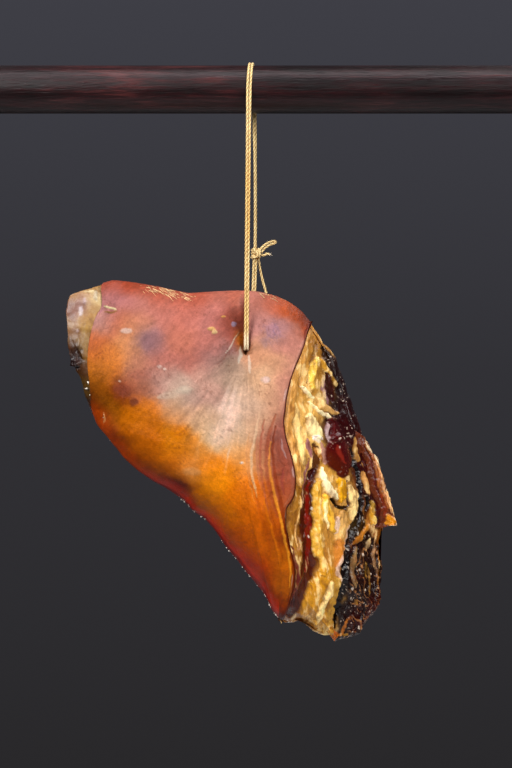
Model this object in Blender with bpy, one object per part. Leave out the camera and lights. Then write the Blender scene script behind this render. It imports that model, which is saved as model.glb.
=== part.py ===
"""Ham hanging stand: a dark hardwood trestle, a round rail, a loop of twine and the ham that hangs in it.

The frame is +Z up. The origin is on the table, under the middle of the stand. +X runs along the rail and
-Y is the side that shows the ham's rind.
"""

import math

import bmesh
import bpy
from mathutils import Matrix, Vector

GAP = 0.0003  # between pieces that touch
BEYOND = 0.5  # how far a cutter runs past what it cuts

# Rail
RAIL_HEIGHT = 0.800
RAIL_DIAMETER = 0.045
RAIL_OVERHANG = 0.040
RAIL_BORE_CLEARANCE = 0.0006

# Trestle ends
POST_INNER_WIDTH = 0.660
POST_THICKNESS = 0.045
POST_DEPTH = 0.078
POST_TENON_DEPTH = 0.052
FOOT_LENGTH = 0.360
FOOT_WIDTH = 0.070
FOOT_HEIGHT = 0.056
FOOT_TOE_HEIGHT = 0.026
FOOT_ARCH_LENGTH = 0.200
FOOT_ARCH_HEIGHT = 0.014
PAD_DIAMETER = 0.034
PAD_THICKNESS = 0.005
PAD_INSET = 0.030
FOOT_FLAT_MARGIN = 0.012  # level run of the foot's top beyond the post on each side
POST_HEAD_SIDES = 40
TENON_CLEARANCE = 0.002  # between the post's tenon and the foot's underside
DRAW_PEG_DIAMETER = 0.010
DRAW_PEG_RISE = 0.55  # of the foot's height above its arch
EDGE_ROUND = 0.0022
STRETCHER_EDGE_ROUND = 0.0012
WEDGE_EDGE_ROUND = 0.0008
RAIL_EDGE_ROUND = 0.003

# Stretcher
STRETCHER_HEIGHT = 0.052
STRETCHER_THICKNESS = 0.024
STRETCHER_LIFT = 0.016
TENON_HEIGHT = 0.034
TENON_PROJECTION = 0.046
WEDGE_THICKNESS = 0.009
WEDGE_WIDTH_TOP = 0.017
WEDGE_WIDTH_BOTTOM = 0.012
WEDGE_LENGTH = 0.070
WEDGE_DROP = 0.47  # of the wedge that lies below the middle of the stretcher

# Rail pegs
RAIL_PEG_DIAMETER = 0.009
RAIL_PEG_HEAD_DIAMETER = 0.017
RAIL_PEG_HEAD_HEIGHT = 0.009
RAIL_PEG_LENGTH = 0.072
RAIL_PEG_INSET = 0.018
RAIL_PEG_CLEARANCE = 0.0004

# Twine: two turns side by side, drawn as pairs of strands
TWINE_DIAMETER = 0.0025
STRAND_PITCH = TWINE_DIAMETER + GAP
LOOP_FRONT_X = -0.0066
LOOP_BACK_X = -0.0021
SHOULDER_ANGLE = math.radians(58)  # of the rail's side that each shoulder lies on
KNOT_POINT = (-0.0010, -0.152)  # x, and height from the rail's axis
KNOT_SIZE = (0.0100, 0.0090, 0.0110)
KNOT_SWELL = 0.06  # of the knot's size, where its turns stand out
LIP_DEPTH = 0.0012  # the strands turn into the hole this far outside and inside its mouth
LIP_HEIGHT = 0.0036
RUN_INSIDE = 0.1  # of the way through the ham, where each strand has straightened
TAILS = {
    "twine_upper_tail": (
        (0.0066, 0, 0.0015), (0.0100, 0.0005, 0.0062), (0.0145, 0.001, 0.0096), (0.0195, 0.001, 0.0118),
    ),
    "twine_short_tail": (
        (0.0070, 0.001, -0.0014), (0.0092, 0.0015, -0.0012), (0.0114, 0.001, 0), (0.0138, 0, -0.0006),
    ),
    "twine_long_tail": (
        (0.0040, 0.0052, -0.0066), (0.0046, 0.0062, -0.0150), (0.0074, 0.0076, -0.0260),
        (0.0100, 0.0084, -0.0350), (0.0118, 0.0090, -0.0430),
    ),
}

# Ham
HOLE_X = -0.0089
HOLE_BACK_X = -0.0040  # the hole slants a little on its way through
HOLE_DROP = 0.245  # from the rail's axis to the hole that the twine goes through
HOLE_DIAMETER = 0.0095
HOLE_MOUTH_DIAMETER = 0.026
HOLE_MOUTH_DEPTH = 0.008
HAM_SHIFT_Y = -0.0082  # brings the centre of mass under the rail
HAM_CENTRE = (-0.008, -0.100)  # x and z from the hole
HAM_HALF_THICKNESS = 0.076
HOCK_HALF_THICKNESS = 0.040
BUTT_HALF_THICKNESS = 0.063
BUTT_SET_BACK = 0.026
SET_BACK_RUN = 0.130  # in x from the hole
THICKNESS_START = (-0.165, 0.030)  # x and z from the hole
THICKNESS_RUN = 0.390  # from the hock to the butt
THICKNESS_SLOPE = (0.62, -0.78)  # the direction of that run
THICKEST_AT = 0.62  # of that run
THINNING_RUN = 0.45
ROUNDNESS = 2.6
RIND_THICKNESS = 0.0045
FAT_THICKNESS = 0.015
LAYER_GAP = 0.0004  # between the rind, the fat and the muscle
INSIDE_INSET = 0.001
HOCK_STUB_INSET = 0.0040
FACE_SET_BACK = 0.006  # of the cut face's far edge behind the ham's middle layer
FACE_CUT_FRONT = -0.150
FACE_CUT_MARGIN = 0.050
BACK_CUT_LINE = ((-0.062, 0.100), (-0.052, -0.320))  # x and z from the hole, where the rind ends on the back
BACK_CUT_DEPTH = 0.034  # behind the ham's middle layer
BACK_CUT_REACH = 0.200
MOUTH_SIDES = 16

# x and z of the outline from the hole, from the top of the hock through the hock's overrun, the lower edge,
# the butt and back along the top
HAM_OUTLINE = (
    (-0.126, 0.064), (-0.152, 0.060), (-0.180, 0.050), (-0.190, 0.026), (-0.184, 0.000), (-0.166, -0.024),
    (-0.149, -0.046), (-0.134, -0.081), (-0.111, -0.106), (-0.089, -0.122), (-0.066, -0.139), (-0.044, -0.158),
    (-0.023, -0.184), (-0.001, -0.208), (0.015, -0.232), (0.031, -0.250), (0.052, -0.259), (0.071, -0.270),
    (0.093, -0.275), (0.110, -0.260), (0.124, -0.238), (0.130, -0.212), (0.132, -0.183), (0.132, -0.150),
    (0.123, -0.105), (0.109, -0.085), (0.101, -0.060), (0.094, -0.037), (0.085, -0.012), (0.075, 0.007),
    (0.062, 0.026), (0.050, 0.039), (0.035, 0.048), (0.015, 0.055), (-0.008, 0.056), (-0.039, 0.055),
    (-0.063, 0.057), (-0.083, 0.060), (-0.105, 0.063),
)
# Where the rind ends on the front: x and z from the hole, from the top down
RIND_EDGE = (
    (0.066, 0.034), (0.052, 0.005), (0.043, -0.019), (0.036, -0.050), (0.037, -0.085), (0.045, -0.115),
    (0.040, -0.141), (0.038, -0.165), (0.043, -0.200), (0.038, -0.232), (0.026, -0.262),
)
# The cut face's far side, where it meets the outline
FACE_FAR_EDGE = (
    (0.082, 0.044), (0.086, 0.012), (0.094, -0.015), (0.104, -0.050), (0.118, -0.085), (0.132, -0.115),
    (0.138, -0.145), (0.140, -0.170), (0.138, -0.206), (0.128, -0.245), (0.098, -0.290),
)
HOCK_RIND_CUT = ((-0.134, 0.070), (-0.145, -0.050))
HOCK_END_CUT = ((-0.168, 0.060), (-0.146, -0.050))
SHANK_BONE_DIAMETER = 0.024
THIGH_BONE_DIAMETER = 0.030
KNEE_POINT = (-0.072, -0.012)
HIP_POINT = (0.062, -0.150)
HOCK_POINT = (-0.160, 0.020)
HIP_Y = 0.012
BONE_CLEARANCE = 0.0006
BONE_SIDES = 14
# Places along a bone and its size there, and of the knuckle at its far end
BONE_SHAFT = ((0.0, 1.15), (0.08, 1.0), (0.45, 0.86), (0.72, 1.0))
BONE_KNUCKLE = ((0.84, 1.0), (0.94, 0.98), (1.0, 0.6))
SHANK_KNUCKLE_SIZE = 1.30
THIGH_KNUCKLE_SIZE = 1.35
KNEE_GAP = 0.020
THIGH_SHIFT = 0.0012
KNEE_LINK_DIAMETER = 0.016

# Dried flap on the butt's side: x and z from the hole along its root and along its curled edge
FLAP_LINES = (
    ((0.098, -0.080), (0.1125, -0.083)),
    ((0.106, -0.096), (0.1195, -0.096)),
    ((0.112, -0.109), (0.1255, -0.107)),
    ((0.117, -0.122), (0.1310, -0.122)),
    ((0.120, -0.138), (0.1360, -0.139)),
    ((0.122, -0.152), (0.1400, -0.153)),
    ((0.123, -0.166), (0.1415, -0.165)),
)
FLAP_ROOT_THICKNESS = 0.012
FLAP_EDGE_THICKNESS = 0.004
FLAP_SET_BACK = 0.004  # behind the ham's middle layer
FLAP_CURL = 0.003  # of its edge towards the front

COLOURS = {
    "dark_wood": (0.060, 0.022, 0.018, 1.0),
    "peg_wood": (0.110, 0.045, 0.028, 1.0),
    "rubber_pad": (0.030, 0.028, 0.027, 1.0),
    "twine": (0.780, 0.560, 0.240, 1.0),
    "rind": (0.620, 0.210, 0.070, 1.0),
    "fat": (0.800, 0.560, 0.240, 1.0),
    "lean": (0.170, 0.018, 0.014, 1.0),
    "bone": (0.800, 0.700, 0.520, 1.0),
}
ROUGHNESS = {
    "dark_wood": 0.42, "peg_wood": 0.50, "rubber_pad": 0.85, "twine": 0.80,
    "rind": 0.35, "fat": 0.40, "lean": 0.28, "bone": 0.55,
}


def material(kind):
    """The material of that kind, made once."""
    made = bpy.data.materials.get(kind) or bpy.data.materials.new(kind)
    made.use_nodes = True
    shader = made.node_tree.nodes["Principled BSDF"]
    shader.inputs["Base Color"].default_value = COLOURS[kind]
    shader.inputs["Roughness"].default_value = ROUGHNESS[kind]
    shader.inputs["Metallic"].default_value = 0.0
    return made


def add_mesh(name, mesh, kind=None, smooth_below=None):
    """Links a mesh as an object. A kind of None makes a cutter, which is left out of renders."""
    obj = bpy.data.objects.new(name, mesh)
    bpy.context.scene.collection.objects.link(obj)
    if kind is None:
        obj.hide_render = True
        obj.display_type = "WIRE"
    else:
        mesh.materials.append(material(kind))
    if smooth_below is not None:
        mesh.shade_smooth()
        mesh.set_sharp_from_angle(angle=math.radians(smooth_below))
    return obj


def mesh_from(vertices, faces, name):
    """A mesh with its normals facing out."""
    mesh = bpy.data.meshes.new(name)
    mesh.from_pydata([tuple(v) for v in vertices], [], faces)
    work = bmesh.new()
    work.from_mesh(mesh)
    bmesh.ops.recalc_face_normals(work, faces=work.faces)
    work.to_mesh(mesh)
    work.free()
    return mesh


def prism(name, outline, low, high, axis, kind=None, edge=0.0, smooth_below=None):
    """A closed outline extruded from low to high along axis "x", "y" or "z".

    The outline's pairs are (y, z) for x, (x, z) for y and (x, y) for z.
    """
    places = {
        "x": lambda p, along: (along, p[0], p[1]),
        "y": lambda p, along: (p[0], along, p[1]),
        "z": lambda p, along: (p[0], p[1], along),
    }
    place, count = places[axis], len(outline)
    vertices = [place(p, low) for p in outline] + [place(p, high) for p in outline]
    faces = [tuple(range(count)), tuple(range(2 * count - 1, count - 1, -1))]
    faces += [(i, (i + 1) % count, count + (i + 1) % count, count + i) for i in range(count)]
    obj = add_mesh(name, mesh_from(vertices, faces, name), kind, smooth_below)
    if edge:
        round_edges(obj, edge)
    return obj


def block(name, centre, size, kind=None, edge=0.0):
    """A box of that size about its centre."""
    (x, y, z), (w, d, h) = centre, size
    outline = [(x - w / 2, y - d / 2), (x + w / 2, y - d / 2), (x + w / 2, y + d / 2), (x - w / 2, y + d / 2)]
    return prism(name, outline, z - h / 2, z + h / 2, "z", kind, edge)


def circle(centre, radius, sides, first=0.0, turn=2 * math.pi):
    """Points round an arc, with its last point left out on a full circle."""
    steps = sides if turn >= 2 * math.pi else sides + 1
    angles = [first + turn * i / sides for i in range(steps)]
    return [(centre[0] + radius * math.cos(a), centre[1] + radius * math.sin(a)) for a in angles]


def rod(name, start, end, radius, sides, kind=None, edge=0.0):
    """A round rod between two points."""
    start, end = Vector(start), Vector(end)
    work = bmesh.new()
    bmesh.ops.create_cone(
        work, cap_ends=True, segments=sides, radius1=radius, radius2=radius, depth=(end - start).length
    )
    turn = (end - start).to_track_quat("Z", "Y").to_matrix().to_4x4()
    bmesh.ops.transform(work, matrix=turn, verts=work.verts)
    bmesh.ops.translate(work, vec=(start + end) / 2, verts=work.verts)
    mesh = bpy.data.meshes.new(name)
    work.to_mesh(mesh)
    work.free()
    obj = add_mesh(name, mesh, kind, 40)
    if edge:
        round_edges(obj, edge)
    return obj


def turned(name, profile, origin, sides, kind):
    """A profile of (radius, height) pairs, from axis to axis, turned about +Z at origin."""
    rings = [p for p in profile if p[0] > 0]
    low, high = profile[0][1], profile[-1][1]
    vertices = [
        (origin[0] + x, origin[1] + y, origin[2] + h)
        for r, h in rings
        for x, y in circle((0, 0), r, sides)
    ]
    bottom, top = len(vertices), len(vertices) + 1
    vertices += [(origin[0], origin[1], origin[2] + low), (origin[0], origin[1], origin[2] + high)]
    faces = [
        (k * sides + i, k * sides + (i + 1) % sides, (k + 1) * sides + (i + 1) % sides, (k + 1) * sides + i)
        for k in range(len(rings) - 1)
        for i in range(sides)
    ]
    last = (len(rings) - 1) * sides
    faces += [(bottom, (i + 1) % sides, i) for i in range(sides)]
    faces += [(top, last + i, last + (i + 1) % sides) for i in range(sides)]
    return add_mesh(name, mesh_from(vertices, faces, name), kind, 40)


def round_edges(obj, width):
    """Eases the sharp outer edges and leaves the inner corners square."""
    work = bmesh.new()
    work.from_mesh(obj.data)
    sharp = [e.is_convex and e.calc_face_angle(0.0) > math.radians(50) for e in work.edges]
    work.free()
    weights = obj.data.attributes.new("bevel_weight_edge", "FLOAT", "EDGE")
    for edge, is_sharp in enumerate(sharp):
        weights.data[edge].value = 1.0 if is_sharp else 0.0
    bevel = obj.modifiers.new("eased edges", "BEVEL")
    bevel.width = width
    bevel.segments = 2
    bevel.limit_method = "WEIGHT"


def boolean(obj, other, operation="DIFFERENCE"):
    """Cuts with, keeps what is inside, or joins the other object."""
    modifier = obj.modifiers.new(f"{operation.lower()} {other.name}", "BOOLEAN")
    modifier.operation = operation
    modifier.object = other
    modifier.solver = "EXACT"


# --- trestle ---------------------------------------------------------------------------------------------


def side_name(side):
    return "left" if side < 0 else "right"


def post_centre_x(side):
    return side * (POST_INNER_WIDTH + POST_THICKNESS) / 2


def foot_top():
    return PAD_THICKNESS + GAP + FOOT_HEIGHT


def stretcher_centre_z():
    return foot_top() + STRETCHER_LIFT + STRETCHER_HEIGHT / 2


def rail_half_length():
    return POST_INNER_WIDTH / 2 + POST_THICKNESS + RAIL_OVERHANG


def make_foot(side):
    """A sledge foot with sloping toes and an arched underside, mortised for the post's tenon."""
    low, top, half = PAD_THICKNESS + GAP, foot_top(), FOOT_LENGTH / 2
    arch_radius = (FOOT_ARCH_LENGTH**2 / 4 + FOOT_ARCH_HEIGHT**2) / (2 * FOOT_ARCH_HEIGHT)
    arch_turn = 2 * math.asin(FOOT_ARCH_LENGTH / 2 / arch_radius)
    arch = circle(
        (0, low + FOOT_ARCH_HEIGHT - arch_radius), arch_radius, 10, (math.pi - arch_turn) / 2, arch_turn
    )
    flat = POST_DEPTH / 2 + FOOT_FLAT_MARGIN
    outline = [(half, low), (half, low + FOOT_TOE_HEIGHT), (flat, top), (-flat, top)]
    outline += [(-half, low + FOOT_TOE_HEIGHT), (-half, low)] + arch[::-1]
    x = post_centre_x(side)
    name = side_name(side)
    foot = prism(
        f"{name}_foot", outline, x - FOOT_WIDTH / 2, x + FOOT_WIDTH / 2, "x", "dark_wood", EDGE_ROUND, 25
    )
    mortise = block(
        f"cut_{name}_mortise",
        (x, 0, top / 2),
        (POST_THICKNESS + 2 * GAP, POST_TENON_DEPTH + 2 * GAP, top * 1.5),
    )
    boolean(foot, mortise)
    boolean(foot, bpy.data.objects[f"cut_{name}_draw_peg"])
    for end in (-1, 1):
        pad_y = end * (half - PAD_INSET)
        end_name = "front" if end < 0 else "back"
        pad_name = f"{name}_{end_name}_foot_pad"
        rod(pad_name, (x, pad_y, 0), (x, pad_y, PAD_THICKNESS), PAD_DIAMETER / 2, 20, "rubber_pad")


def make_post(side):
    """An upright with a round head about the rail's bore and a tenon that goes through the foot."""
    x, name = post_centre_x(side), side_name(side)
    half, tenon = POST_DEPTH / 2, POST_TENON_DEPTH / 2
    shoulder = foot_top() + GAP
    tenon_end = PAD_THICKNESS + GAP + FOOT_ARCH_HEIGHT + TENON_CLEARANCE
    head = circle((0, RAIL_HEIGHT), half, POST_HEAD_SIDES, 0, math.pi)
    outline = [(-half, shoulder), (-tenon, shoulder), (-tenon, tenon_end), (tenon, tenon_end)]
    outline += [(tenon, shoulder), (half, shoulder)] + head
    low, high = x - POST_THICKNESS / 2, x + POST_THICKNESS / 2
    post = prism(f"{name}_post", outline, low, high, "x", "dark_wood", EDGE_ROUND, 25)
    reach = POST_THICKNESS
    bore = rod(
        f"cut_{name}_rail_bore",
        (x - reach, 0, RAIL_HEIGHT),
        (x + reach, 0, RAIL_HEIGHT),
        RAIL_DIAMETER / 2 + RAIL_BORE_CLEARANCE,
        48,
    )
    mortise = block(
        f"cut_{name}_stretcher_mortise",
        (x, 0, stretcher_centre_z()),
        (2 * reach, STRETCHER_THICKNESS + 2 * GAP, TENON_HEIGHT + 2 * GAP),
    )
    boolean(post, bore)
    boolean(post, mortise)
    boolean(post, bpy.data.objects[f"cut_{name}_draw_peg"])


def make_draw_peg(side):
    """The dowel that holds the post's tenon in the foot."""
    x, name = post_centre_x(side), side_name(side)
    z = PAD_THICKNESS + GAP + FOOT_ARCH_HEIGHT + (FOOT_HEIGHT - FOOT_ARCH_HEIGHT) * DRAW_PEG_RISE
    start, end = (x - FOOT_WIDTH / 2, 0, z), (x + FOOT_WIDTH / 2, 0, z)
    reach = Vector((FOOT_WIDTH, 0, 0))
    rod(f"cut_{name}_draw_peg", Vector(start) - reach, Vector(end) + reach, DRAW_PEG_DIAMETER / 2 + GAP, 20)
    rod(f"{name}_draw_peg", start, end, DRAW_PEG_DIAMETER / 2, 20, "peg_wood")


def wedge_outline(side, clearance=0.0):
    """The wedge in the XZ plane. Its inner side is upright against the post and its outer side tapers."""
    inner = POST_INNER_WIDTH / 2 + POST_THICKNESS + GAP - clearance
    low = stretcher_centre_z() - WEDGE_LENGTH * WEDGE_DROP
    high = low + WEDGE_LENGTH
    bottom, top = inner + WEDGE_WIDTH_BOTTOM + 2 * clearance, inner + WEDGE_WIDTH_TOP + 2 * clearance
    return [(side * inner, low), (side * bottom, low), (side * top, high), (side * inner, high)]


def make_stretcher():
    """The low beam between the posts, with through tenons that a wedge locks outside each post."""
    z, half = stretcher_centre_z(), POST_INNER_WIDTH / 2 - GAP
    end = half + GAP + POST_THICKNESS + TENON_PROJECTION
    tall, tenon = STRETCHER_HEIGHT / 2, TENON_HEIGHT / 2
    under = [(-end, z - tenon), (-half, z - tenon), (-half, z - tall), (half, z - tall), (half, z - tenon)]
    outline = under + [(end, z - tenon), (end, z + tenon)]
    outline += [(px, 2 * z - pz) for px, pz in under[:0:-1]] + [(-end, z + tenon)]
    thick = STRETCHER_THICKNESS / 2
    stretcher = prism("stretcher", outline, -thick, thick, "y", "dark_wood", STRETCHER_EDGE_ROUND)
    for side in (-1, 1):
        name = side_name(side)
        wide = WEDGE_THICKNESS / 2
        slot = prism(f"cut_{name}_wedge_slot", wedge_outline(side, GAP), -wide - GAP, wide + GAP, "y")
        boolean(stretcher, slot)
        prism(f"{name}_wedge", wedge_outline(side), -wide, wide, "y", "peg_wood", WEDGE_EDGE_ROUND)


def make_rail():
    """The round rail, with an upright hole near each end for its peg."""
    end = rail_half_length()
    left, right = (-end, 0, RAIL_HEIGHT), (end, 0, RAIL_HEIGHT)
    rail = rod("rail", left, right, RAIL_DIAMETER / 2, 48, "dark_wood", RAIL_EDGE_ROUND)
    for side in (-1, 1):
        x, name = side * (end - RAIL_PEG_INSET), side_name(side)
        hole = rod(
            f"cut_{name}_rail_peg",
            (x, 0, RAIL_HEIGHT - RAIL_DIAMETER),
            (x, 0, RAIL_HEIGHT + RAIL_DIAMETER),
            RAIL_PEG_DIAMETER / 2 + RAIL_PEG_CLEARANCE,
            24,
        )
        boolean(rail, hole)
        radius, head = RAIL_PEG_DIAMETER / 2, RAIL_PEG_HEAD_DIAMETER / 2
        seat = RAIL_DIAMETER / 2 + GAP
        profile = [
            (0, seat - RAIL_PEG_LENGTH), (radius * 0.7, seat - RAIL_PEG_LENGTH),
            (radius, seat - RAIL_PEG_LENGTH + 0.004), (radius, seat), (head * 0.8, seat),
            (head, seat + RAIL_PEG_HEAD_HEIGHT * 0.35), (head * 0.9, seat + RAIL_PEG_HEAD_HEIGHT * 0.7),
            (head * 0.5, seat + RAIL_PEG_HEAD_HEIGHT * 0.95), (0, seat + RAIL_PEG_HEAD_HEIGHT),
        ]
        turned(f"{name}_rail_peg", profile, (x, 0, RAIL_HEIGHT), 24, "peg_wood")


# --- ham -------------------------------------------------------------------------------------------------


def smooth_step(x):
    x = min(max(x, 0.0), 1.0)
    return x * x * (3 - 2 * x)


def between(p0, p1, p2, p3, t):
    """A point between p1 and p2 on a smooth curve that also heads for p0 and p3."""
    bend = 2 * p0 - 5 * p1 + 4 * p2 - p3
    turn = 3 * p1 - p0 - 3 * p2 + p3
    return 0.5 * (2 * p1 + (p2 - p0) * t + bend * t**2 + turn * t**3)


def closed_curve(points, count):
    """That many points on a smooth closed curve through the given ones, evenly spread over their spans."""
    n, found = len(points), []
    for k in range(count):
        at = k * n / count
        near = [Vector(points[(int(at) + j - 1) % n]) for j in range(4)]
        found.append(between(*near, at - int(at)))
    return found


def open_curve(points, per_span):
    """Points on a smooth open curve through the given ones."""
    points = [Vector(p) for p in points]
    ends = [2 * points[0] - points[1], *points, 2 * points[-1] - points[-2]]
    found = []
    for i in range(len(points) - 1):
        found += [between(*ends[i : i + 4], k / per_span) for k in range(per_span)]
    return [*found, points[-1]]


def hole_z():
    return RAIL_HEIGHT - HOLE_DROP


def half_thickness(x, z):
    """Half the ham's thickness, from the hock at the upper left to the butt at the lower right."""
    start, slope = THICKNESS_START, THICKNESS_SLOPE
    along = ((x - start[0]) * slope[0] + (z - start[1]) * slope[1]) / THICKNESS_RUN
    rise = smooth_step(along / THICKEST_AT)
    fall = smooth_step((along - THICKEST_AT) / THINNING_RUN)
    thick = HOCK_HALF_THICKNESS + (HAM_HALF_THICKNESS - HOCK_HALF_THICKNESS) * rise
    return thick - (HAM_HALF_THICKNESS - BUTT_HALF_THICKNESS) * fall


def middle_y(x):
    """The y of the ham's middle layer, which sets back towards the butt."""
    return HAM_SHIFT_Y + BUTT_SET_BACK * smooth_step(x / SET_BACK_RUN)


def ham_y(x, z, s, side, inset=0.0):
    """The y of the surface on side -1, front, or 1, back. s is 0 in the middle and 1 at the outline."""
    bulge = max(0.0, 1 - s**ROUNDNESS) ** 0.5
    return middle_y(x) + side * (half_thickness(x, z) - inset) * bulge


def make_ham_body(name, inset, kind=None, around=36, rings=6):
    """The whole ham's closed surface, moved in by inset. It has no cut faces yet."""
    outline = closed_curve(HAM_OUTLINE, around)
    centre = Vector(HAM_CENTRE)
    levels = [math.sin(math.pi / 2 * (k + 1) / rings) for k in range(rings)]
    vertices, rows = [], []
    for side, ring_levels in ((-1, levels), (1, levels[-2::-1])):
        for s in ring_levels:
            rows.append(len(vertices))
            for p in outline:
                arm = p - centre
                at = centre + arm * s * (1 - inset / arm.length)
                vertices.append((HOLE_X + at.x, ham_y(at.x, at.y, s, side, inset), hole_z() + at.y))
    poles = len(vertices)
    for side in (-1, 1):
        vertices.append((HOLE_X + centre.x, ham_y(centre.x, centre.y, 0, side, inset), hole_z() + centre.y))
    faces = [(poles, i, (i + 1) % around) for i in range(around)]
    for a, b in zip(rows, rows[1:]):
        for i in range(around):
            j = (i + 1) % around
            faces += [(a + i, b + i, b + j), (a + i, b + j, a + j)]
    faces += [(poles + 1, rows[-1] + (i + 1) % around, rows[-1] + i) for i in range(around)]
    return add_mesh(name, mesh_from(vertices, faces, name), kind, 35)


def make_face_cutter():
    """Removes what lies in front of the cut face, from the rind's edge to the far side of the butt."""
    rows = []
    for near, far in zip(RIND_EDGE, FACE_FAR_EDGE):
        near_x, near_z = HOLE_X + near[0], hole_z() + near[1]
        far_x, far_z = HOLE_X + far[0], hole_z() + far[1]
        near_y = ham_y(*near, surface_level(near), -1)
        far_y = middle_y(far[0]) + FACE_SET_BACK
        outer_x = far_x + FACE_CUT_MARGIN
        rows.append([
            (near_x, near_y, near_z), (far_x, far_y, far_z), (outer_x, far_y, far_z),
            (outer_x, FACE_CUT_FRONT, far_z), (near_x, FACE_CUT_FRONT, near_z),
        ])
    vertices = [p for row in rows for p in row]
    width = len(rows[0])
    faces = [tuple(range(width)), tuple(range(len(vertices) - 1, len(vertices) - 1 - width, -1))]
    for k in range(len(rows) - 1):
        for i in range(width):
            j = (i + 1) % width
            faces.append((k * width + i, k * width + j, (k + 1) * width + j, (k + 1) * width + i))
    mesh = mesh_from(vertices, faces, "cut_face")
    work = bmesh.new()
    work.from_mesh(mesh)
    bmesh.ops.triangulate(work, faces=work.faces)
    work.to_mesh(mesh)
    work.free()
    return add_mesh("cut_face", mesh)


def surface_level(point):
    """How far out a point of the outline's plane lies, from 0 in the middle to 1 at the outline."""
    centre, point = Vector(HAM_CENTRE), Vector(point)
    arm = point - centre
    for a, b in zip(HAM_OUTLINE, HAM_OUTLINE[1:] + HAM_OUTLINE[:1]):
        a, b = Vector(a) - centre, Vector(b) - centre
        cross = arm.x * (b - a).y - arm.y * (b - a).x
        if abs(cross) < 1e-12:
            continue
        share = (a.x * (b - a).y - a.y * (b - a).x) / cross
        along = (a.x * arm.y - a.y * arm.x) / cross
        if share > 0 and 0 <= along <= 1:
            return min(1.0, 1 / share)
    return 0.0


def slab(name, line, towards, shift=0.0):
    """A cutter that fills the side of a line towards -X, for -1, or +X, for 1. The line runs down in XZ."""
    top, bottom = (Vector(p) for p in line)
    down = (bottom - top).normalized()
    across = Vector((-down.y, down.x)) * towards
    start = top - down * BEYOND + across * shift
    end = bottom + down * BEYOND + across * shift
    corners = [start, end, end + across * BEYOND, start + across * BEYOND]
    outline = [(HOLE_X + p.x, hole_z() + p.y) for p in corners]
    return prism(name, outline, -BEYOND, BEYOND, "y")


def make_back_cutter(name, shrink):
    """The part of the ham's back, towards the butt, that has no rind."""
    (top_x, top_z), (low_x, low_z) = BACK_CUT_LINE
    low, high, far = hole_z() + low_z, hole_z() + top_z, HOLE_X + BACK_CUT_REACH
    outline = [(HOLE_X + top_x + shrink, high), (HOLE_X + low_x + shrink, low), (far, low), (far, high)]
    return prism(name, outline, HAM_SHIFT_Y + BACK_CUT_DEPTH + shrink, BACK_CUT_REACH, "y")


def hole_mouth(side):
    """The middle of the hole's mouth on side -1, the front, or 1, the back."""
    x = 0.0 if side < 0 else HOLE_BACK_X - HOLE_X
    return Vector((HOLE_X + x, ham_y(x, 0, surface_level((x, 0)), side), hole_z()))


def make_twine_hole():
    """The hole that the twine goes through, with a dished mouth on each side."""
    front, back = hole_mouth(-1), hole_mouth(1)
    reach = (back - front).normalized() * HOLE_MOUTH_DIAMETER
    cutters = [rod("cut_twine_hole", front - reach, back + reach, HOLE_DIAMETER / 2, MOUTH_SIDES)]
    for side, mouth in ((-1, front), (1, back)):
        work = bmesh.new()
        bmesh.ops.create_cone(
            work, cap_ends=True, segments=MOUTH_SIDES, radius1=HOLE_DIAMETER / 2,
            radius2=HOLE_MOUTH_DIAMETER / 2, depth=HOLE_MOUTH_DEPTH * 1.5,
        )
        turn = Vector((0, side, 0)).to_track_quat("Z", "X").to_matrix().to_4x4()
        bmesh.ops.transform(work, matrix=turn, verts=work.verts)
        middle = mouth - Vector((0, side * HOLE_MOUTH_DEPTH * 0.25, 0))
        bmesh.ops.translate(work, vec=middle, verts=work.verts)
        mesh = bpy.data.meshes.new("cut_mouth")
        work.to_mesh(mesh)
        work.free()
        cutters.append(add_mesh(f"cut_mouth_{'front' if side < 0 else 'back'}", mesh))
    return cutters


def bone_point(place, y=None):
    x, z = place
    return Vector((HOLE_X + x, HAM_SHIFT_Y if y is None else y, hole_z() + z))


def make_bone(name, start, end, radius, knuckle, kind="bone", clearance=0.0):
    """A long bone with a thicker knuckle at its far end."""
    axis = end - start
    length = axis.length
    stations = BONE_SHAFT + tuple((at, size * knuckle) for at, size in BONE_KNUCKLE)
    profile = [(0, -clearance)]
    profile += [(radius * size + clearance, length * at + clearance * (2 * at - 1)) for at, size in stations]
    profile += [(0, length + clearance)]
    bone = turned(name, profile, (0, 0, 0), BONE_SIDES, kind)
    bone.data.transform(axis.to_track_quat("Z", "Y").to_matrix().to_4x4())
    bone.data.transform(Matrix.Translation(start))
    return bone


def bone_joints():
    """The hock, the knee and the hip."""
    return bone_point(HOCK_POINT), bone_point(KNEE_POINT), bone_point(HIP_POINT, HIP_Y)


def bone_runs():
    """Each bone's name, ends, radius and how far its knuckle swells."""
    hock, knee, hip = bone_joints()
    shank_end = knee - (knee - hock).normalized() * KNEE_GAP
    thigh_start = knee + (hip - knee).normalized() * THIGH_SHIFT
    return (
        ("shank", hock, shank_end, SHANK_BONE_DIAMETER / 2, SHANK_KNUCKLE_SIZE),
        ("thigh", thigh_start, hip, THIGH_BONE_DIAMETER / 2, THIGH_KNUCKLE_SIZE),
    )


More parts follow.
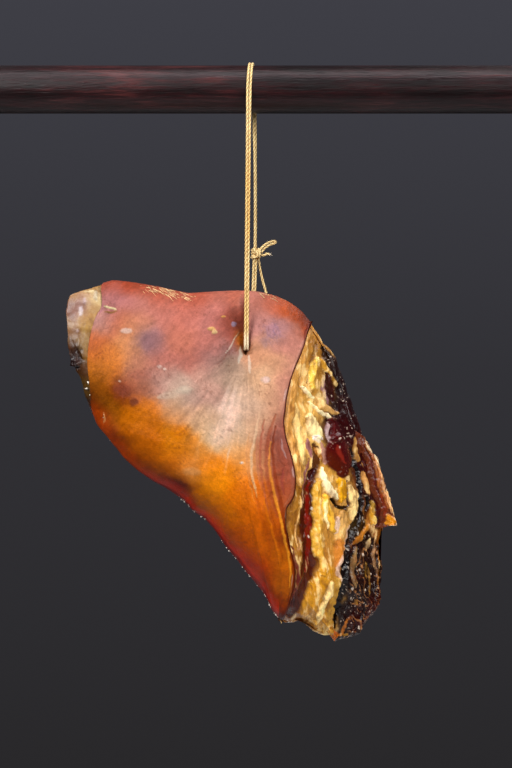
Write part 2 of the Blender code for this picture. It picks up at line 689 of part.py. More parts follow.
def make_ham():
    """Rind, fat, muscles and bones, nested in each other and cut off at the hock and the butt."""
    holes = make_twine_hole()
    face = make_face_cutter()
    rind_end = slab("cut_hock_rind", HOCK_RIND_CUT, -1, -GAP)
    stub_start = slab("cut_hock_stub", HOCK_RIND_CUT, 1)
    hock_end = slab("cut_hock_end", HOCK_END_CUT, -1)
    back = make_back_cutter("cut_back", 0.0)
    back_region = make_back_cutter("keep_back", GAP)

    under_rind = make_ham_body("cut_under_rind", RIND_THICKNESS)
    under_fat = make_ham_body("cut_under_fat", RIND_THICKNESS + FAT_THICKNESS)

    rind = make_ham_body("ham_rind", 0.0, "rind")
    for cutter in (under_rind, face, rind_end, back, *holes):
        boolean(rind, cutter)

    fat = make_ham_body("ham_fat_layer", RIND_THICKNESS + LAYER_GAP, "fat")
    for cutter in (under_fat, face, rind_end, back, *holes):
        boolean(fat, cutter)

    inside = make_ham_body("ham_inside_muscle", INSIDE_INSET, "lean")
    boolean(inside, back_region, "INTERSECT")
    for cutter in (under_fat, face, *holes):
        boolean(inside, cutter)

    channels = []
    for name, start, end, radius, knuckle in bone_runs():
        make_bone(f"ham_{name}_bone", start, end, radius, knuckle)
        channels.append(make_bone(f"cut_{name}_bone", start, end, radius, knuckle, None, BONE_CLEARANCE))
    hock, knee, hip = bone_joints()
    link = rod("cut_knee_joint", hock.lerp(knee, 0.7), knee.lerp(hip, 0.2), KNEE_LINK_DIAMETER / 2, 12)

    core = make_ham_body("ham_core_muscle", RIND_THICKNESS + FAT_THICKNESS + LAYER_GAP, "lean")
    for cutter in (face, rind_end, *holes, *channels, link):
        boolean(core, cutter)

    stub = make_ham_body("ham_hock_stub", HOCK_STUB_INSET, "fat")
    for cutter in (stub_start, hock_end, channels[0]):
        boolean(stub, cutter)


def make_crust_flap():
    """The dried corner of meat that curls off the butt's far side. Its root follows the butt's edge."""
    vertices = []
    for root, edge in FLAP_LINES:
        root_y, edge_y = middle_y(root[0]) + FLAP_SET_BACK, middle_y(edge[0]) + FLAP_SET_BACK - FLAP_CURL
        root_x, root_z = HOLE_X + root[0], hole_z() + root[1]
        edge_x, edge_z = HOLE_X + edge[0], hole_z() + edge[1]
        thick, thin = FLAP_ROOT_THICKNESS / 2, FLAP_EDGE_THICKNESS / 2
        vertices += [(root_x, root_y - thick, root_z), (edge_x, edge_y - thin, edge_z)]
        vertices += [(edge_x, edge_y + thin, edge_z), (root_x, root_y + thick, root_z)]
    rows = len(FLAP_LINES)
    faces = [(0, 1, 2, 3), tuple(range(4 * rows - 1, 4 * rows - 5, -1))]
    for k in range(rows - 1):
        faces += [(4 * k + i, 4 * k + (i + 1) % 4, 4 * k + 4 + (i + 1) % 4, 4 * k + 4 + i) for i in range(4)]
    flap = add_mesh("ham_crust_flap", mesh_from(vertices, faces, "ham_crust_flap"), "lean", 40)
    boolean(flap, make_ham_body("cut_flap_bed", -GAP))


# --- twine -----------------------------------------------------------------------------------------------


def make_twine(name, points):
    """A round strand along its points."""
    curve = bpy.data.curves.new(name, "CURVE")
    curve.dimensions = "3D"
    curve.bevel_depth = TWINE_DIAMETER / 2
    curve.bevel_resolution = 2
    curve.use_fill_caps = True
    spline = curve.splines.new("POLY")
    spline.points.add(len(points) - 1)
    for place, p in zip(spline.points, points):
        place.co = (*p, 1.0)
    curve.materials.append(material("twine"))
    obj = bpy.data.objects.new(name, curve)
    bpy.context.scene.collection.objects.link(obj)
    return obj


def over_rail(angle, offset):
    """A point of the loop on the rail. The angle is 0 at the front, level with the axis; pi at the back."""
    radius = RAIL_DIAMETER / 2 + GAP + TWINE_DIAMETER / 2
    x = LOOP_FRONT_X + (LOOP_BACK_X - LOOP_FRONT_X) * angle / math.pi + offset
    return Vector((x, -radius * math.cos(angle), RAIL_HEIGHT + radius * math.sin(angle)))


def arc_points(first, last, offset, steps):
    return [over_rail(first + (last - first) * k / steps, offset) for k in range(steps + 1)]


def shortened(start, end, at_start=0.0, at_end=0.0):
    """The ends of a straight run, drawn in by those lengths."""
    along = (end - start).normalized()
    return start + along * at_start, end - along * at_end


def make_loop():
    """The doubled loop: over the rail, down the front, through the ham and up the back to the knot."""
    radius = RAIL_DIAMETER / 2 + GAP + TWINE_DIAMETER / 2
    end_gap = GAP / 2 / radius
    front_mouth, back_mouth = hole_mouth(-1), hole_mouth(1)
    inwards, lift = Vector((0, LIP_DEPTH, 0)), Vector((0, 0, LIP_HEIGHT))
    knot_z = RAIL_HEIGHT + KNOT_POINT[1]
    half_knot = KNOT_SIZE[2] / 2 * (1 + KNOT_SWELL) + GAP
    for side, letter in ((-1, "a"), (1, "b")):
        offset = side * STRAND_PITCH / 2
        across = Vector((offset, 0, 0))
        make_twine(
            f"twine_saddle_{letter}",
            arc_points(SHOULDER_ANGLE + end_gap, math.pi - SHOULDER_ANGLE - end_gap, offset, 8),
        )
        make_twine(f"twine_front_shoulder_{letter}", arc_points(end_gap, SHOULDER_ANGLE - end_gap, offset, 7))
        make_twine(
            f"twine_back_shoulder_{letter}",
            arc_points(math.pi - SHOULDER_ANGLE + end_gap, math.pi - end_gap, offset, 7),
        )
        front_top, back_top = over_rail(0, offset), over_rail(math.pi, offset)
        front, back = front_mouth + across, back_mouth + across
        front_lip, back_lip = front - inwards + lift, back + inwards + lift
        share = (knot_z - back_top.z) / (back_lip.z - back_top.z)
        knot_y = back_top.y + (back_lip.y - back_top.y) * share
        knot_side = Vector((KNOT_POINT[0] + offset, knot_y, knot_z))
        first, _ = shortened(front_top, front_lip, GAP / 2)
        rise, top = shortened(back_lip, knot_side, 0.0, half_knot)
        inside = [front.lerp(back, RUN_INSIDE), front.lerp(back, 1 - RUN_INSIDE)]
        run = [first, front_lip, front + inwards, *inside, back - inwards, rise, top]
        make_twine(f"twine_run_{letter}", run)
        start, end = shortened(knot_side, back_top, half_knot, GAP / 2)
        make_twine(f"twine_back_strand_{letter}", [start, end])
    make_knot(Vector((KNOT_POINT[0], knot_y, knot_z)))


def make_knot(centre):
    """The knot as a plump lump, and the cut ends that stand out of it."""
    work = bmesh.new()
    bmesh.ops.create_icosphere(work, subdivisions=2, radius=0.5)
    for v in work.verts:
        swell = 1 + KNOT_SWELL * math.sin(9 * v.co.z + 4 * v.co.x)
        v.co = Vector((v.co.x * KNOT_SIZE[0], v.co.y * KNOT_SIZE[1], v.co.z * KNOT_SIZE[2])) * swell
    bmesh.ops.translate(work, vec=centre, verts=work.verts)
    mesh = bpy.data.meshes.new("twine_knot")
    work.to_mesh(mesh)
    work.free()
    add_mesh("twine_knot", mesh, "twine", 60)
    for name, points in TAILS.items():
        make_twine(name, [centre + p for p in open_curve(points, 3)])


def main():
    for obj in list(bpy.data.objects):
        bpy.data.objects.remove(obj)
    for side in (-1, 1):
        make_draw_peg(side)
        make_foot(side)
        make_post(side)
    make_stretcher()
    make_rail()
    make_ham()
    make_crust_flap()
    make_loop()


main()
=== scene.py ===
import math

import bpy
import numpy as np
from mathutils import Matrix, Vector


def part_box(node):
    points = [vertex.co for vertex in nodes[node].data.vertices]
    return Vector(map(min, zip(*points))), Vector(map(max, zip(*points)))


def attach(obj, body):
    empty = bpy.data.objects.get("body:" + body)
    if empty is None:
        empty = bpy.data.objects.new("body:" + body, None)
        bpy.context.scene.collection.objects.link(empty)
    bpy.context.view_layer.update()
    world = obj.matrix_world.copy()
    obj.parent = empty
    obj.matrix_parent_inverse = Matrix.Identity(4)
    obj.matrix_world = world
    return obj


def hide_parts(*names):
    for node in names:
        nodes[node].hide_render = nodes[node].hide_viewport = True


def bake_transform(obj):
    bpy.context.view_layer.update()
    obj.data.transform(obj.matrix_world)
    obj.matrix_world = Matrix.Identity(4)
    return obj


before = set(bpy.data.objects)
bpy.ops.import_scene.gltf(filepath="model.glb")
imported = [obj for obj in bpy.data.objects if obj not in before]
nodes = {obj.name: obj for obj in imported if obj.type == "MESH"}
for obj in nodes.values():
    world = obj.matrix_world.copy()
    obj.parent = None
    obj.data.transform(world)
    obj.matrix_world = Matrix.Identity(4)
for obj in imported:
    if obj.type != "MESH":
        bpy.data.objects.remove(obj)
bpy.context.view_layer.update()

railLow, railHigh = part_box("rail")
railAxis = (railLow.z + railHigh.z) / 2
railRadius = (railHigh.z - railLow.z) / 2
print("frame loaded")


# camera, light and floor

view = {
    "distance": 2.2,
    "belowRail": 0.2768,
    "shownHeight": 0.722,  # metres of the object's plane in the frame
    "sensor": 36.0,
    "floorRadius": 0.74,
}


lamps = {  # place, what it points at, size, power and colour
    "key": ((-1.3, -2.0, 1.65), (0, 0, 0.48), (1.1, 1.1), 68, (1, 1, 1)),
    "fill": ((1.55, -1.9, 1.30), (0, 0, 0.45), (0.9, 1.1), 50, (1, 1, 1)),
    "top": ((0.1, -0.30, 2.1), (0, 0, 0.7), (1.6, 0.5), 9, (1, 1, 1)),
    "rail": ((0, -0.20, 1.22), (0, 0, 0.8), (1.7, 0.12), 2.0, (1.0, 0.84, 0.94)),
    "backRight": ((1.3, 1.5, 2.3), (0, 0, 0.5), (1.2, 1.2), 16, (1, 1, 1)),
    "backLeft": ((-1.4, 1.4, 2.2), (0, 0, 0.45), (1.2, 1.2), 16, (1, 1, 1)),
}
backdrop = {  # colours from below the horizon to above it
    "from": -0.16,
    "to": 0.17,
    "low": (0.0225, 0.0215, 0.0235, 1),
    "middle": (0.0315, 0.0310, 0.0365, 1),
    "high": (0.0500, 0.0500, 0.0620, 1),
}


def makeCamera():
    lens = bpy.data.cameras.new("camera")
    lens.sensor_width = view["sensor"]
    lens.lens = view["sensor"] * view["distance"] / view["shownHeight"]
    camera = bpy.data.objects.new("camera", lens)
    camera.location = (0, -view["distance"], railAxis - view["belowRail"])
    camera.rotation_euler = (math.radians(90), 0, 0)
    bpy.context.scene.collection.objects.link(camera)
    bpy.context.scene.camera = camera


def makeLight(name, place, target, size, power, colour):
    lamp = bpy.data.lights.new(name, "AREA")
    lamp.shape = "RECTANGLE"
    lamp.size, lamp.size_y = size
    lamp.energy = power
    lamp.color = colour
    obj = bpy.data.objects.new(name, lamp)
    obj.location = place
    obj.rotation_euler = (Vector(target) - Vector(place)).to_track_quat("-Z", "Y").to_euler()
    bpy.context.scene.collection.objects.link(obj)


makeCamera()
for name, lamp in lamps.items():
    makeLight(name, *lamp)
bpy.context.scene.view_settings.view_transform = "Standard"


# small tools

def paint(code):
    part = np.array([int(code[i : i + 2], 16) for i in (1, 3, 5)]) / 255
    return np.where(part > 0.04045, ((part + 0.055) / 1.055) ** 2.4, part / 12.92)


def smooth(low, high, x):
    t = np.clip((x - low) / (high - low), 0, 1)
    return t * t * (3 - 2 * t)


def lattice(i, j, seed):
    n = (i * 374761393 + j * 668265263 + seed * 974634777) & 0xFFFFFFFF
    n = ((n ^ (n >> 13)) * 1274126177) & 0xFFFFFFFF
    return ((n ^ (n >> 16)) & 0xFFFF) / 32767.5 - 1


def cloud(x, z, seed):
    i, j = np.floor(x).astype(np.int64), np.floor(z).astype(np.int64)
    u, v = x - i, z - j
    u, v = u * u * u * (u * (u * 6 - 15) + 10), v * v * v * (v * (v * 6 - 15) + 10)
    low = lattice(i, j, seed) * (1 - u) + lattice(i + 1, j, seed) * u
    high = lattice(i, j + 1, seed) * (1 - u) + lattice(i + 1, j + 1, seed) * u
    return low * (1 - v) + high * v


def clouds(x, z, seed, octaves=3):
    total, size = 0, 1.0
    for k in range(octaves):
        total = total + cloud(x / size + 17.3 * k, z / size - 9.1 * k, seed + k) * size
        size *= 0.5
    return total


def curveThrough(points, perSpan=8, closed=False):
    p = np.array(points, float)
    ends = np.vstack([p[-1:], p, p[:2]]) if closed else np.vstack(
        [2 * p[:1] - p[1:2], p, 2 * p[-1:] - p[-2:-1]]
    )
    t = (np.arange(perSpan) / perSpan)[:, None]
    found = []
    for k in range(len(ends) - 3):
        a, b, c, d = ends[k : k + 4]
        found.append(
            0.5
            * (2 * b + (c - a) * t + (2 * a - 5 * b + 4 * c - d) * t**2 + (3 * b - a - 3 * c + d) * t**3)
        )
    found = np.vstack(found)
    return found if closed else np.vstack([found, p[-1:]])


def evenly(path, count):
    path = np.asarray(path, float)
    step = np.r_[0, np.cumsum(np.linalg.norm(np.diff(path, axis=0), axis=1))]
    at = np.linspace(0, step[-1], count)
    return np.stack([np.interp(at, step, path[:, k]) for k in range(path.shape[1])], axis=1)


def nearPath(x, z, path):
    best = np.full(x.shape, 1e9)
    share = np.zeros(x.shape)
    lengths = np.r_[0, np.cumsum(np.linalg.norm(np.diff(path, axis=0), axis=1))]
    for k in range(len(path) - 1):
        a, d = path[k], path[k + 1] - path[k]
        size = d @ d
        t = np.clip(((x - a[0]) * d[0] + (z - a[1]) * d[1]) / size, 0, 1)
        dx, dz = x - a[0] - t * d[0], z - a[1] - t * d[1]
        away = np.hypot(dx, dz)
        closer = away < best
        best = np.where(closer, away, best)
        share = np.where(closer, (lengths[k] + t * math.sqrt(size)) / lengths[-1], share)
    return best, share


def stroke(x, z, points, width, blunt=0.35, wobble=0.0, seed=5):
    path = curveThrough(points, 5)
    reach = width + 2
    found = (x > path[:, 0].min() - reach) & (x < path[:, 0].max() + reach)
    found &= (z > path[:, 1].min() - reach) & (z < path[:, 1].max() + reach)
    across = np.full(x.shape, 9.0)
    if found.any():
        px, pz = x[found], z[found]
        if wobble:
            px = px + wobble * clouds(px / 5, pz / 5, seed)
            pz = pz + wobble * clouds(px / 5, pz / 5, seed + 40)
        away, share = nearPath(px, pz, path)
        taper = np.clip(np.sin(np.pi * np.clip(share, 0.02, 0.98)), 0, 1) ** blunt
        across[found] = away / (width / 2 * taper)
    return across


def mix(colour, other, share):
    return colour + (paint(other) - colour) * share[..., None]


def swatches(x, z, table, reach):
    colour, total = 0, 1e-12
    for places, code in table:
        for place in places:
            w = np.exp(-((x - place[0]) ** 2 + (z - place[1]) ** 2) / (2 * reach**2)) + 1e-9
            colour = colour + w[..., None] * paint(code)
            total = total + w
    return colour / total[..., None]


def facesOf(index):
    return np.stack([index[:-1, :-1], index[1:, :-1], index[1:, 1:], index[:-1, 1:]], axis=-1).reshape(-1, 4)


def gridFaces(rows, columns, closed=False):
    index = np.arange(rows * columns).reshape(rows, columns)
    return facesOf(np.hstack([index, index[:, :1]]) if closed else index)


def makePiece(name, part, material, body=None, stands=()):
    points = np.asarray(part["points"], np.float32)
    faces = [np.asarray(f, np.int32) for f in part["faces"] if len(f)]
    used = np.zeros(len(points), bool)
    for f in faces:
        used[f.ravel()] = True
    order = np.cumsum(used) - 1
    sizes = np.concatenate([np.full(len(f), f.shape[1]) for f in faces])
    corners = np.concatenate([order[f].ravel() for f in faces]).astype(np.int32)
    mesh = bpy.data.meshes.new(name)
    mesh.vertices.add(int(used.sum()))
    mesh.vertices.foreach_set("co", points[used].ravel())
    mesh.loops.add(len(corners))
    mesh.loops.foreach_set("vertex_index", corners)
    mesh.polygons.add(len(sizes))
    mesh.polygons.foreach_set("loop_start", np.r_[0, np.cumsum(sizes)[:-1]].astype(np.int32))
    mesh.update(calc_edges=True)
    mesh.shade_smooth()
    if "tint" in part:
        colours = np.c_[np.clip(part["tint"][used], 0, 1), np.ones(used.sum())].astype(np.float32)
        mesh.attributes.new("tint", "FLOAT_COLOR", "POINT").data.foreach_set("color", colours.ravel())
        mesh.attributes.new("wet", "FLOAT", "POINT").data.foreach_set(
            "value", part["wet"][used].astype(np.float32)
        )
    mesh.materials.append(material)
    obj = bpy.data.objects.new(name, mesh)
    bpy.context.scene.collection.objects.link(obj)
    if body:
        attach(obj, body)
    if stands:
        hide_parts(*stands)
    return obj


def joined(parts):
    points, faces, tint, wet, count = [], [], [], [], 0
    for part in parts:
        points.append(part["points"])
        faces += [np.asarray(f) + count for f in part["faces"] if len(f)]
        tint.append(part["tint"])
        wet.append(part["wet"])
        count += len(part["points"])
    return {"points": np.vstack(points), "faces": faces, "tint": np.vstack(tint), "wet": np.concatenate(wet)}


def normalsOf(grid, towards=None):
    n = np.cross(np.gradient(grid, axis=0), np.gradient(grid, axis=1))
    n = n / np.maximum(np.linalg.norm(n, axis=-1, keepdims=True), 1e-12)
    if towards and n[grid.shape[0] // 2, grid.shape[1] // 2, 1] * towards < 0:
        return -n
    return n


def directions(path):
    ahead = np.gradient(path, axis=0)
    return ahead / np.linalg.norm(ahead, axis=1, keepdims=True)


# materials

def put(tree, kind, inputs=None, **settings):
    node = tree.nodes.new("ShaderNode" + kind)
    for key, value in settings.items():
        setattr(node, key, value)
    for key, value in (inputs or {}).items():
        if isinstance(value, bpy.types.NodeSocket):
            tree.links.new(value, node.inputs[key])
        else:
            node.inputs[key].default_value = value
    return node


def newMaterial(name, **values):
    made = bpy.data.materials.new(name)
    made.use_nodes = True
    surface = made.node_tree.nodes["Principled BSDF"]
    for key, value in values.items():
        surface.inputs[key.replace("_", " ")].default_value = value
    return made, made.node_tree, surface


def stretched(tree, scale):
    place = put(tree, "TexCoord").outputs["Object"]
    return put(tree, "Mapping", {"Vector": place, "Scale": scale}).outputs["Vector"]


def noise(tree, place, scale, detail=4.0, rough=0.55):
    return put(
        tree, "TexNoise", {"Vector": place, "Scale": scale, "Detail": detail, "Roughness": rough}
    ).outputs["Fac"]


def ranged(tree, value, low, high, toLow, toHigh):
    inputs = {"Value": value, "From Min": low, "From Max": high, "To Min": toLow, "To Max": toHigh}
    return put(tree, "MapRange", inputs).outputs["Result"]


def product(tree, one, other):
    return put(tree, "Math", {0: one, 1: other}, operation="MULTIPLY").outputs[0]


def scaled(tree, colour, share):
    return put(tree, "VectorMath", {0: colour, "Scale": share}, operation="SCALE").outputs["Vector"]


def bumped(tree, surface, heights):
    normal = None
    for height, distance, strength in heights:
        inputs = {"Height": height, "Distance": distance, "Strength": strength}
        if normal:
            inputs["Normal"] = normal
        normal = put(tree, "Bump", inputs).outputs["Normal"]
    tree.links.new(normal, surface.inputs["Normal"])


def meatMaterial(name, fine, fineHeight, roughDry, roughWet, coat, speckle, shine):
    made, tree, surface = newMaterial(name, Coat_Weight=coat, Coat_Roughness=0.22, Specular_IOR_Level=shine)
    tint = put(tree, "Attribute", attribute_name="tint").outputs["Color"]
    wet = put(tree, "Attribute", attribute_name="wet").outputs["Fac"]
    place = stretched(tree, (1, 1, 1))
    grain = noise(tree, place, fine, 5.0, 0.62)
    patches = noise(tree, place, fine * 0.16, 3.0, 0.5)
    shade = product(
        tree, ranged(tree, grain, 0.3, 0.7, *speckle), ranged(tree, patches, 0.3, 0.7, 0.92, 1.07)
    )
    tree.links.new(scaled(tree, tint, shade), surface.inputs["Base Color"])
    rough = ranged(tree, wet, 0.0, 1.0, roughDry, roughWet)
    rough = product(tree, rough, ranged(tree, grain, 0.3, 0.7, 0.85, 1.2))
    tree.links.new(rough, surface.inputs["Roughness"])
    bumped(tree, surface, [(patches, fineHeight * 3, 0.4), (grain, fineHeight, 0.6)])
    return made


def woodMaterial(name, dark, mid, light, along, rough, coat, shine):
    made, tree, surface = newMaterial(name, Coat_Weight=coat, Coat_Roughness=0.28, Specular_IOR_Level=shine)
    scale = [1.0, 1.0, 1.0]
    scale["xyz".index(along)] = 0.09
    place = stretched(tree, scale)
    warp = noise(tree, stretched(tree, (1, 1, 1)), 9.0, 2.0)
    figure = noise(tree, place, 150.0, 6.0, 0.72)
    fibre = noise(tree, place, 640.0, 3.0, 0.7)
    pores = put(tree, "TexVoronoi", {"Vector": place, "Scale": 900.0}).outputs["Distance"]
    bent = ranged(tree, warp, 0.3, 0.7, -0.12, 0.12)
    share = put(tree, "Math", {0: figure, 1: bent}, operation="ADD").outputs[0]
    ramp = put(tree, "ValToRGB", {"Fac": share})
    low, high = ramp.color_ramp.elements
    low.position, low.color = 0.32, (*paint(dark), 1)
    high.position, high.color = 0.72, (*paint(light), 1)
    ramp.color_ramp.elements.new(0.52).color = (*paint(mid), 1)
    shade = product(
        tree, ranged(tree, fibre, 0.38, 0.62, 0.45, 1.35), ranged(tree, pores, 0.05, 0.28, 0.55, 1.0)
    )
    tree.links.new(scaled(tree, ramp.outputs["Color"], shade), surface.inputs["Base Color"])
    tree.links.new(ranged(tree, fibre, 0.3, 0.7, rough[1], rough[0]), surface.inputs["Roughness"])
    bumped(tree, surface, [(figure, 0.0005, 0.3), (fibre, 0.0004, 0.7), (pores, 0.0003, 0.4)])
    return made


def speckledMaterial(name, scale, detail, dark, light, **values):
    made, tree, surface = newMaterial(name, **values)
    specks = noise(tree, stretched(tree, (1, 1, 1)), scale, detail)
    colour = put(tree, "MixRGB", {"Fac": specks, "Color1": dark, "Color2": light}).outputs[0]
    tree.links.new(colour, surface.inputs["Base Color"])
    return made, tree, surface, specks


meats = {  # name, grain and its height, roughness dry and wet, coat, how far the grain shades, shine
    "rind": ("smokedRind", 640, 0.0008, 0.52, 0.36, 0.0, (0.86, 1.12), 0.07),
    "face": ("cutFace", 780, 0.0004, 0.50, 0.15, 0.0, (0.84, 1.16), 0.26),
    "fat": ("driedFat", 700, 0.0003, 0.6, 0.32, 0.06, (0.86, 1.12), 0.4),
    "twine": ("cottonTwine", 1800, 0.00015, 0.9, 0.75, 0.0, (0.7, 1.22), 0.5),
}
woods = {  # dark, middle and light colour, the way the grain runs, roughness, coat, shine
    "rail": ("#0d0304", "#210b0d", "#45201f", "x", (0.26, 0.42), 0.0, 0.3),
    "post": ("#150807", "#281310", "#3c231d", "z", (0.34, 0.52), 0.06, 0.5),
    "foot": ("#150807", "#281310", "#3c231d", "y", (0.34, 0.52), 0.06, 0.5),
    "beam": ("#150807", "#281310", "#3c231d", "x", (0.34, 0.52), 0.06, 0.5),
    "peg": ("#2a120b", "#482418", "#6a3d29", "z", (0.4, 0.58), 0.1, 0.5),
    "dowel": ("#2a120b", "#482418", "#6a3d29", "x", (0.4, 0.58), 0.1, 0.5),
}


def makeMaterials():
    found = {kind: meatMaterial(*values) for kind, values in meats.items()}
    for kind, values in woods.items():
        found[kind] = woodMaterial(kind + "Wood", *values)
    black, grey = (0.012, 0.012, 0.012, 1), (0.03, 0.028, 0.027, 1)
    found["rubber"], tree, surface, specks = speckledMaterial(
        "padRubber", 900.0, 3.0, black, grey, Specular_IOR_Level=0.35
    )
    tree.links.new(ranged(tree, specks, 0.3, 0.7, 0.72, 0.9), surface.inputs["Roughness"])
    bumped(tree, surface, [(specks, 0.0002, 0.5)])
    pale, paler = (0.50, 0.50, 0.51, 1), (0.56, 0.56, 0.57, 1)
    found["floor"], *_ = speckledMaterial("paleFloor", 30.0, 4.0, pale, paler, Roughness=0.8)
    return found


def makeWorld():
    world = bpy.data.worlds.new("world")
    world.use_nodes = True
    tree = world.node_tree
    gaze = put(tree, "TexCoord").outputs["Generated"]
    rise = put(tree, "SeparateXYZ", {0: gaze}).outputs["Z"]
    ramp = put(tree, "ValToRGB", {"Fac": ranged(tree, rise, backdrop["from"], backdrop["to"], 0, 1)})
    ramp.color_ramp.elements[0].color = backdrop["low"]
    ramp.color_ramp.elements[1].color = backdrop["high"]
    ramp.color_ramp.elements.new(0.5).color = backdrop["middle"]
    tree.links.new(ramp.outputs["Color"], tree.nodes["Background"].inputs["Color"])
    bpy.context.scene.world = world


materials = makeMaterials()
makeWorld()


def makeFloor():
    turns, rings = 96, 12
    around = np.linspace(0, 2 * np.pi, turns + 1)[:-1]
    reach = np.linspace(0.05, 1, rings) * view["floorRadius"]
    points = np.array([(r * math.cos(a), r * math.sin(a), 0) for r in reach for a in around] + [(0, 0, 0)])
    middle = np.array([(len(points) - 1, i, (i + 1) % turns) for i in range(turns)])
    makePiece(
            "floor", {"points": points, "faces": [gridFaces(rings, turns, True), middle]},
            materials["floor"]
        )


makeFloor()


# twine

twine = {
    "diameter": 0.0025,
    "pitch": 0.0028,       # between the two strands
    "frontX": -0.0066,     # of the loop on the rail's front
    "backX": -0.0021,
    "gap": 0.0003,
    "lipDepth": 0.0012,
    "lipHeight": 0.0036,
    "holeX": -0.0089,
    "holeDrop": 0.245,     # from the rail's axis
    "holeBackX": -0.0040,
    "twistLength": 0.0126,
    "ringStep": 0.00042,
    "sides": 21,
    "colours": ("#5e4019", "#bf9048", "#f2dca0"),  # in the grooves, on the way up, on the crests: the groove colour is painted shade, the crest colour a painted highlight
    "pale": "#e6d9bd",
    "aged": (0.92, 0.72, 0.42),  # the colour of its lower part against the upper
}

knotLow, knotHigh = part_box("twine_knot")
knotCentre = np.array((knotLow + knotHigh) / 2)
holeZ = railAxis - twine["holeDrop"]
holeX = twine["holeX"]


def tube(path, radius, sides=12, twist=0.0, phase=0.0, lobes=3, deep=0.12, taper=None):
    path = np.asarray(path, float)
    ahead = directions(path)
    side = np.cross(ahead[0], (0.31, 0.22, 0.93))
    side /= np.linalg.norm(side)
    sidesOf = [side]
    for k in range(1, len(path)):
        side = side - ahead[k] * (side @ ahead[k])
        side /= np.linalg.norm(side)
        sidesOf.append(side)
    across = np.array(sidesOf)
    up = np.cross(ahead, across)
    run = np.r_[0, np.cumsum(np.linalg.norm(np.diff(path, axis=0), axis=1))]
    turn = phase + (2 * np.pi * run / twist if twist else 0 * run)
    angle = np.linspace(0, 2 * np.pi, sides + 1)[:-1][None, :] + 0 * run[:, None]
    lobe = np.abs(np.cos(lobes / 2 * (angle - turn[:, None]))) ** 0.75 if twist else np.ones_like(angle)
    size = radius * (1 - deep * (1 - lobe))
    if taper is not None:
        size = size * np.asarray(taper)[:, None]
    ring = np.cos(angle)[..., None] * across[:, None] + np.sin(angle)[..., None] * up[:, None]
    return path[:, None] + size[..., None] * ring, lobe


def tubePart(points, lobe, colours, caps=(True, True), seed=1):
    rows, sides = lobe.shape
    dark, mid, light = (paint(c) for c in colours)
    along = np.arange(rows)[:, None] + 0 * lobe
    around = np.arange(sides)[None, :] + 0 * lobe
    fleck = clouds(along / 7 + around * 0.6, around / 2.2, seed, 2)
    # colour follows the twist: painted shade in the grooves, painted highlight on the crests
    share = np.clip(lobe * 1.15 - 0.1 + 0.18 * fleck, 0, 1)[..., None]
    tint = np.where(share < 0.5, dark + (mid - dark) * share * 2, mid + (light - mid) * (share * 2 - 1))
    points, tint = points.reshape(-1, 3), tint.reshape(-1, 3)
    faces = [gridFaces(rows, sides, True)[:, ::-1]]
    for end, flip in ((0, caps[0]), (rows - 1, caps[1])):
        if flip:
            ring = end * sides + np.arange(sides)
            centre = len(points)
            points = np.vstack([points, points[ring].mean(0)])
            tint = np.vstack([tint, tint[ring].mean(0)])
            nextRing = np.roll(ring, -1)
            pair = (nextRing, ring) if end == 0 else (ring, nextRing)
            faces.append(np.stack([np.full(sides, centre), *pair], axis=1))
    return {"points": points, "faces": faces, "tint": tint, "wet": np.zeros(len(points))}


# the ham's own shape, in millimetres from the hole

ham = {
    "centre": (-8.0, -100.0),
    "shiftY": -8.2,
    "halfThickness": 76.0,
    "hockHalf": 40.0,
    "buttHalf": 63.0,
    "buttSetBack": 26.0,
    "roundness": 2.6,
    "bodyOutline": [
        (-126, 65), (-152, 60), (-180, 50), (-190, 26), (-184, 0), (-166, -26), (-147, -50), (-140, -69),
        (-131, -80), (-122, -91), (-111, -104), (-89, -121), (-74, -130), (-60, -140), (-50, -150),
        (-40, -157), (-30, -168), (-20, -183), (-10, -195), (0, -208), (10, -220), (18, -231), (25, -245),
        (35, -254), (52, -259), (71, -270), (93, -275), (110, -260), (124, -238), (130, -212),
        (132, -183), (132, -150), (123, -105), (109, -85), (101, -60), (94, -37), (85, -12), (75, 7),
        (62, 26), (50, 38), (35, 47.5), (15, 54), (-8, 55.5), (-39, 54), (-55, 53.5), (-72, 57),
        (-83, 59.5), (-105, 63),
    ],
    "skinEdge": [
        (70, 44), (61, 24), (57, 14), (54, 4), (49, -8), (44, -20), (40, -32), (37, -44), (35.5, -56),
        (34.5, -66), (35.5, -76), (38, -86), (40.5, -94), (43, -104), (44.5, -112), (45, -122),
        (44, -132), (41, -139), (37.5, -144), (36.5, -152), (37, -162), (39, -172), (41, -182),
        (43.5, -192), (45, -205), (44, -218), (41, -230), (38, -242), (33, -255), (24, -275),
    ],
    "hockEdge": [
        (-131, 80), (-134, 62), (-135, 57), (-134, 41), (-140, 29), (-144.5, 12), (-146.6, -12),
        (-144.5, -32), (-144.5, -46), (-146, -60), (-150, -80),
    ],
    "hockSide": [
        (-134, 62), (-146, 57), (-160, 52), (-164, 48.5), (-167, 35), (-166, 22), (-165.5, 8.6),
        (-163, -8), (-158, -18), (-153, -28), (-150, -42), (-147, -53),
    ],
    "farEdge": [
        (61, 25), (66, 17), (70, 10), (76, 4), (80, -2), (84, -10), (88, -20), (92, -30), (96, -42),
        (100, -54), (104, -64), (108, -74), (112, -84), (117, -95), (121, -104), (124, -115), (127, -128),
        (129, -141), (130, -152), (130, -160), (129, -167), (128, -175), (127, -182), (128, -192),
        (130, -204), (128, -214), (127, -226), (129, -234), (126, -243), (119, -250), (113, -258),
        (107, -268), (98, -272), (88, -275), (83, -277), (78, -271), (66, -267), (58, -261), (50, -256),
        (44, -257), (38, -256.5), (33, -254.5),
    ],
}


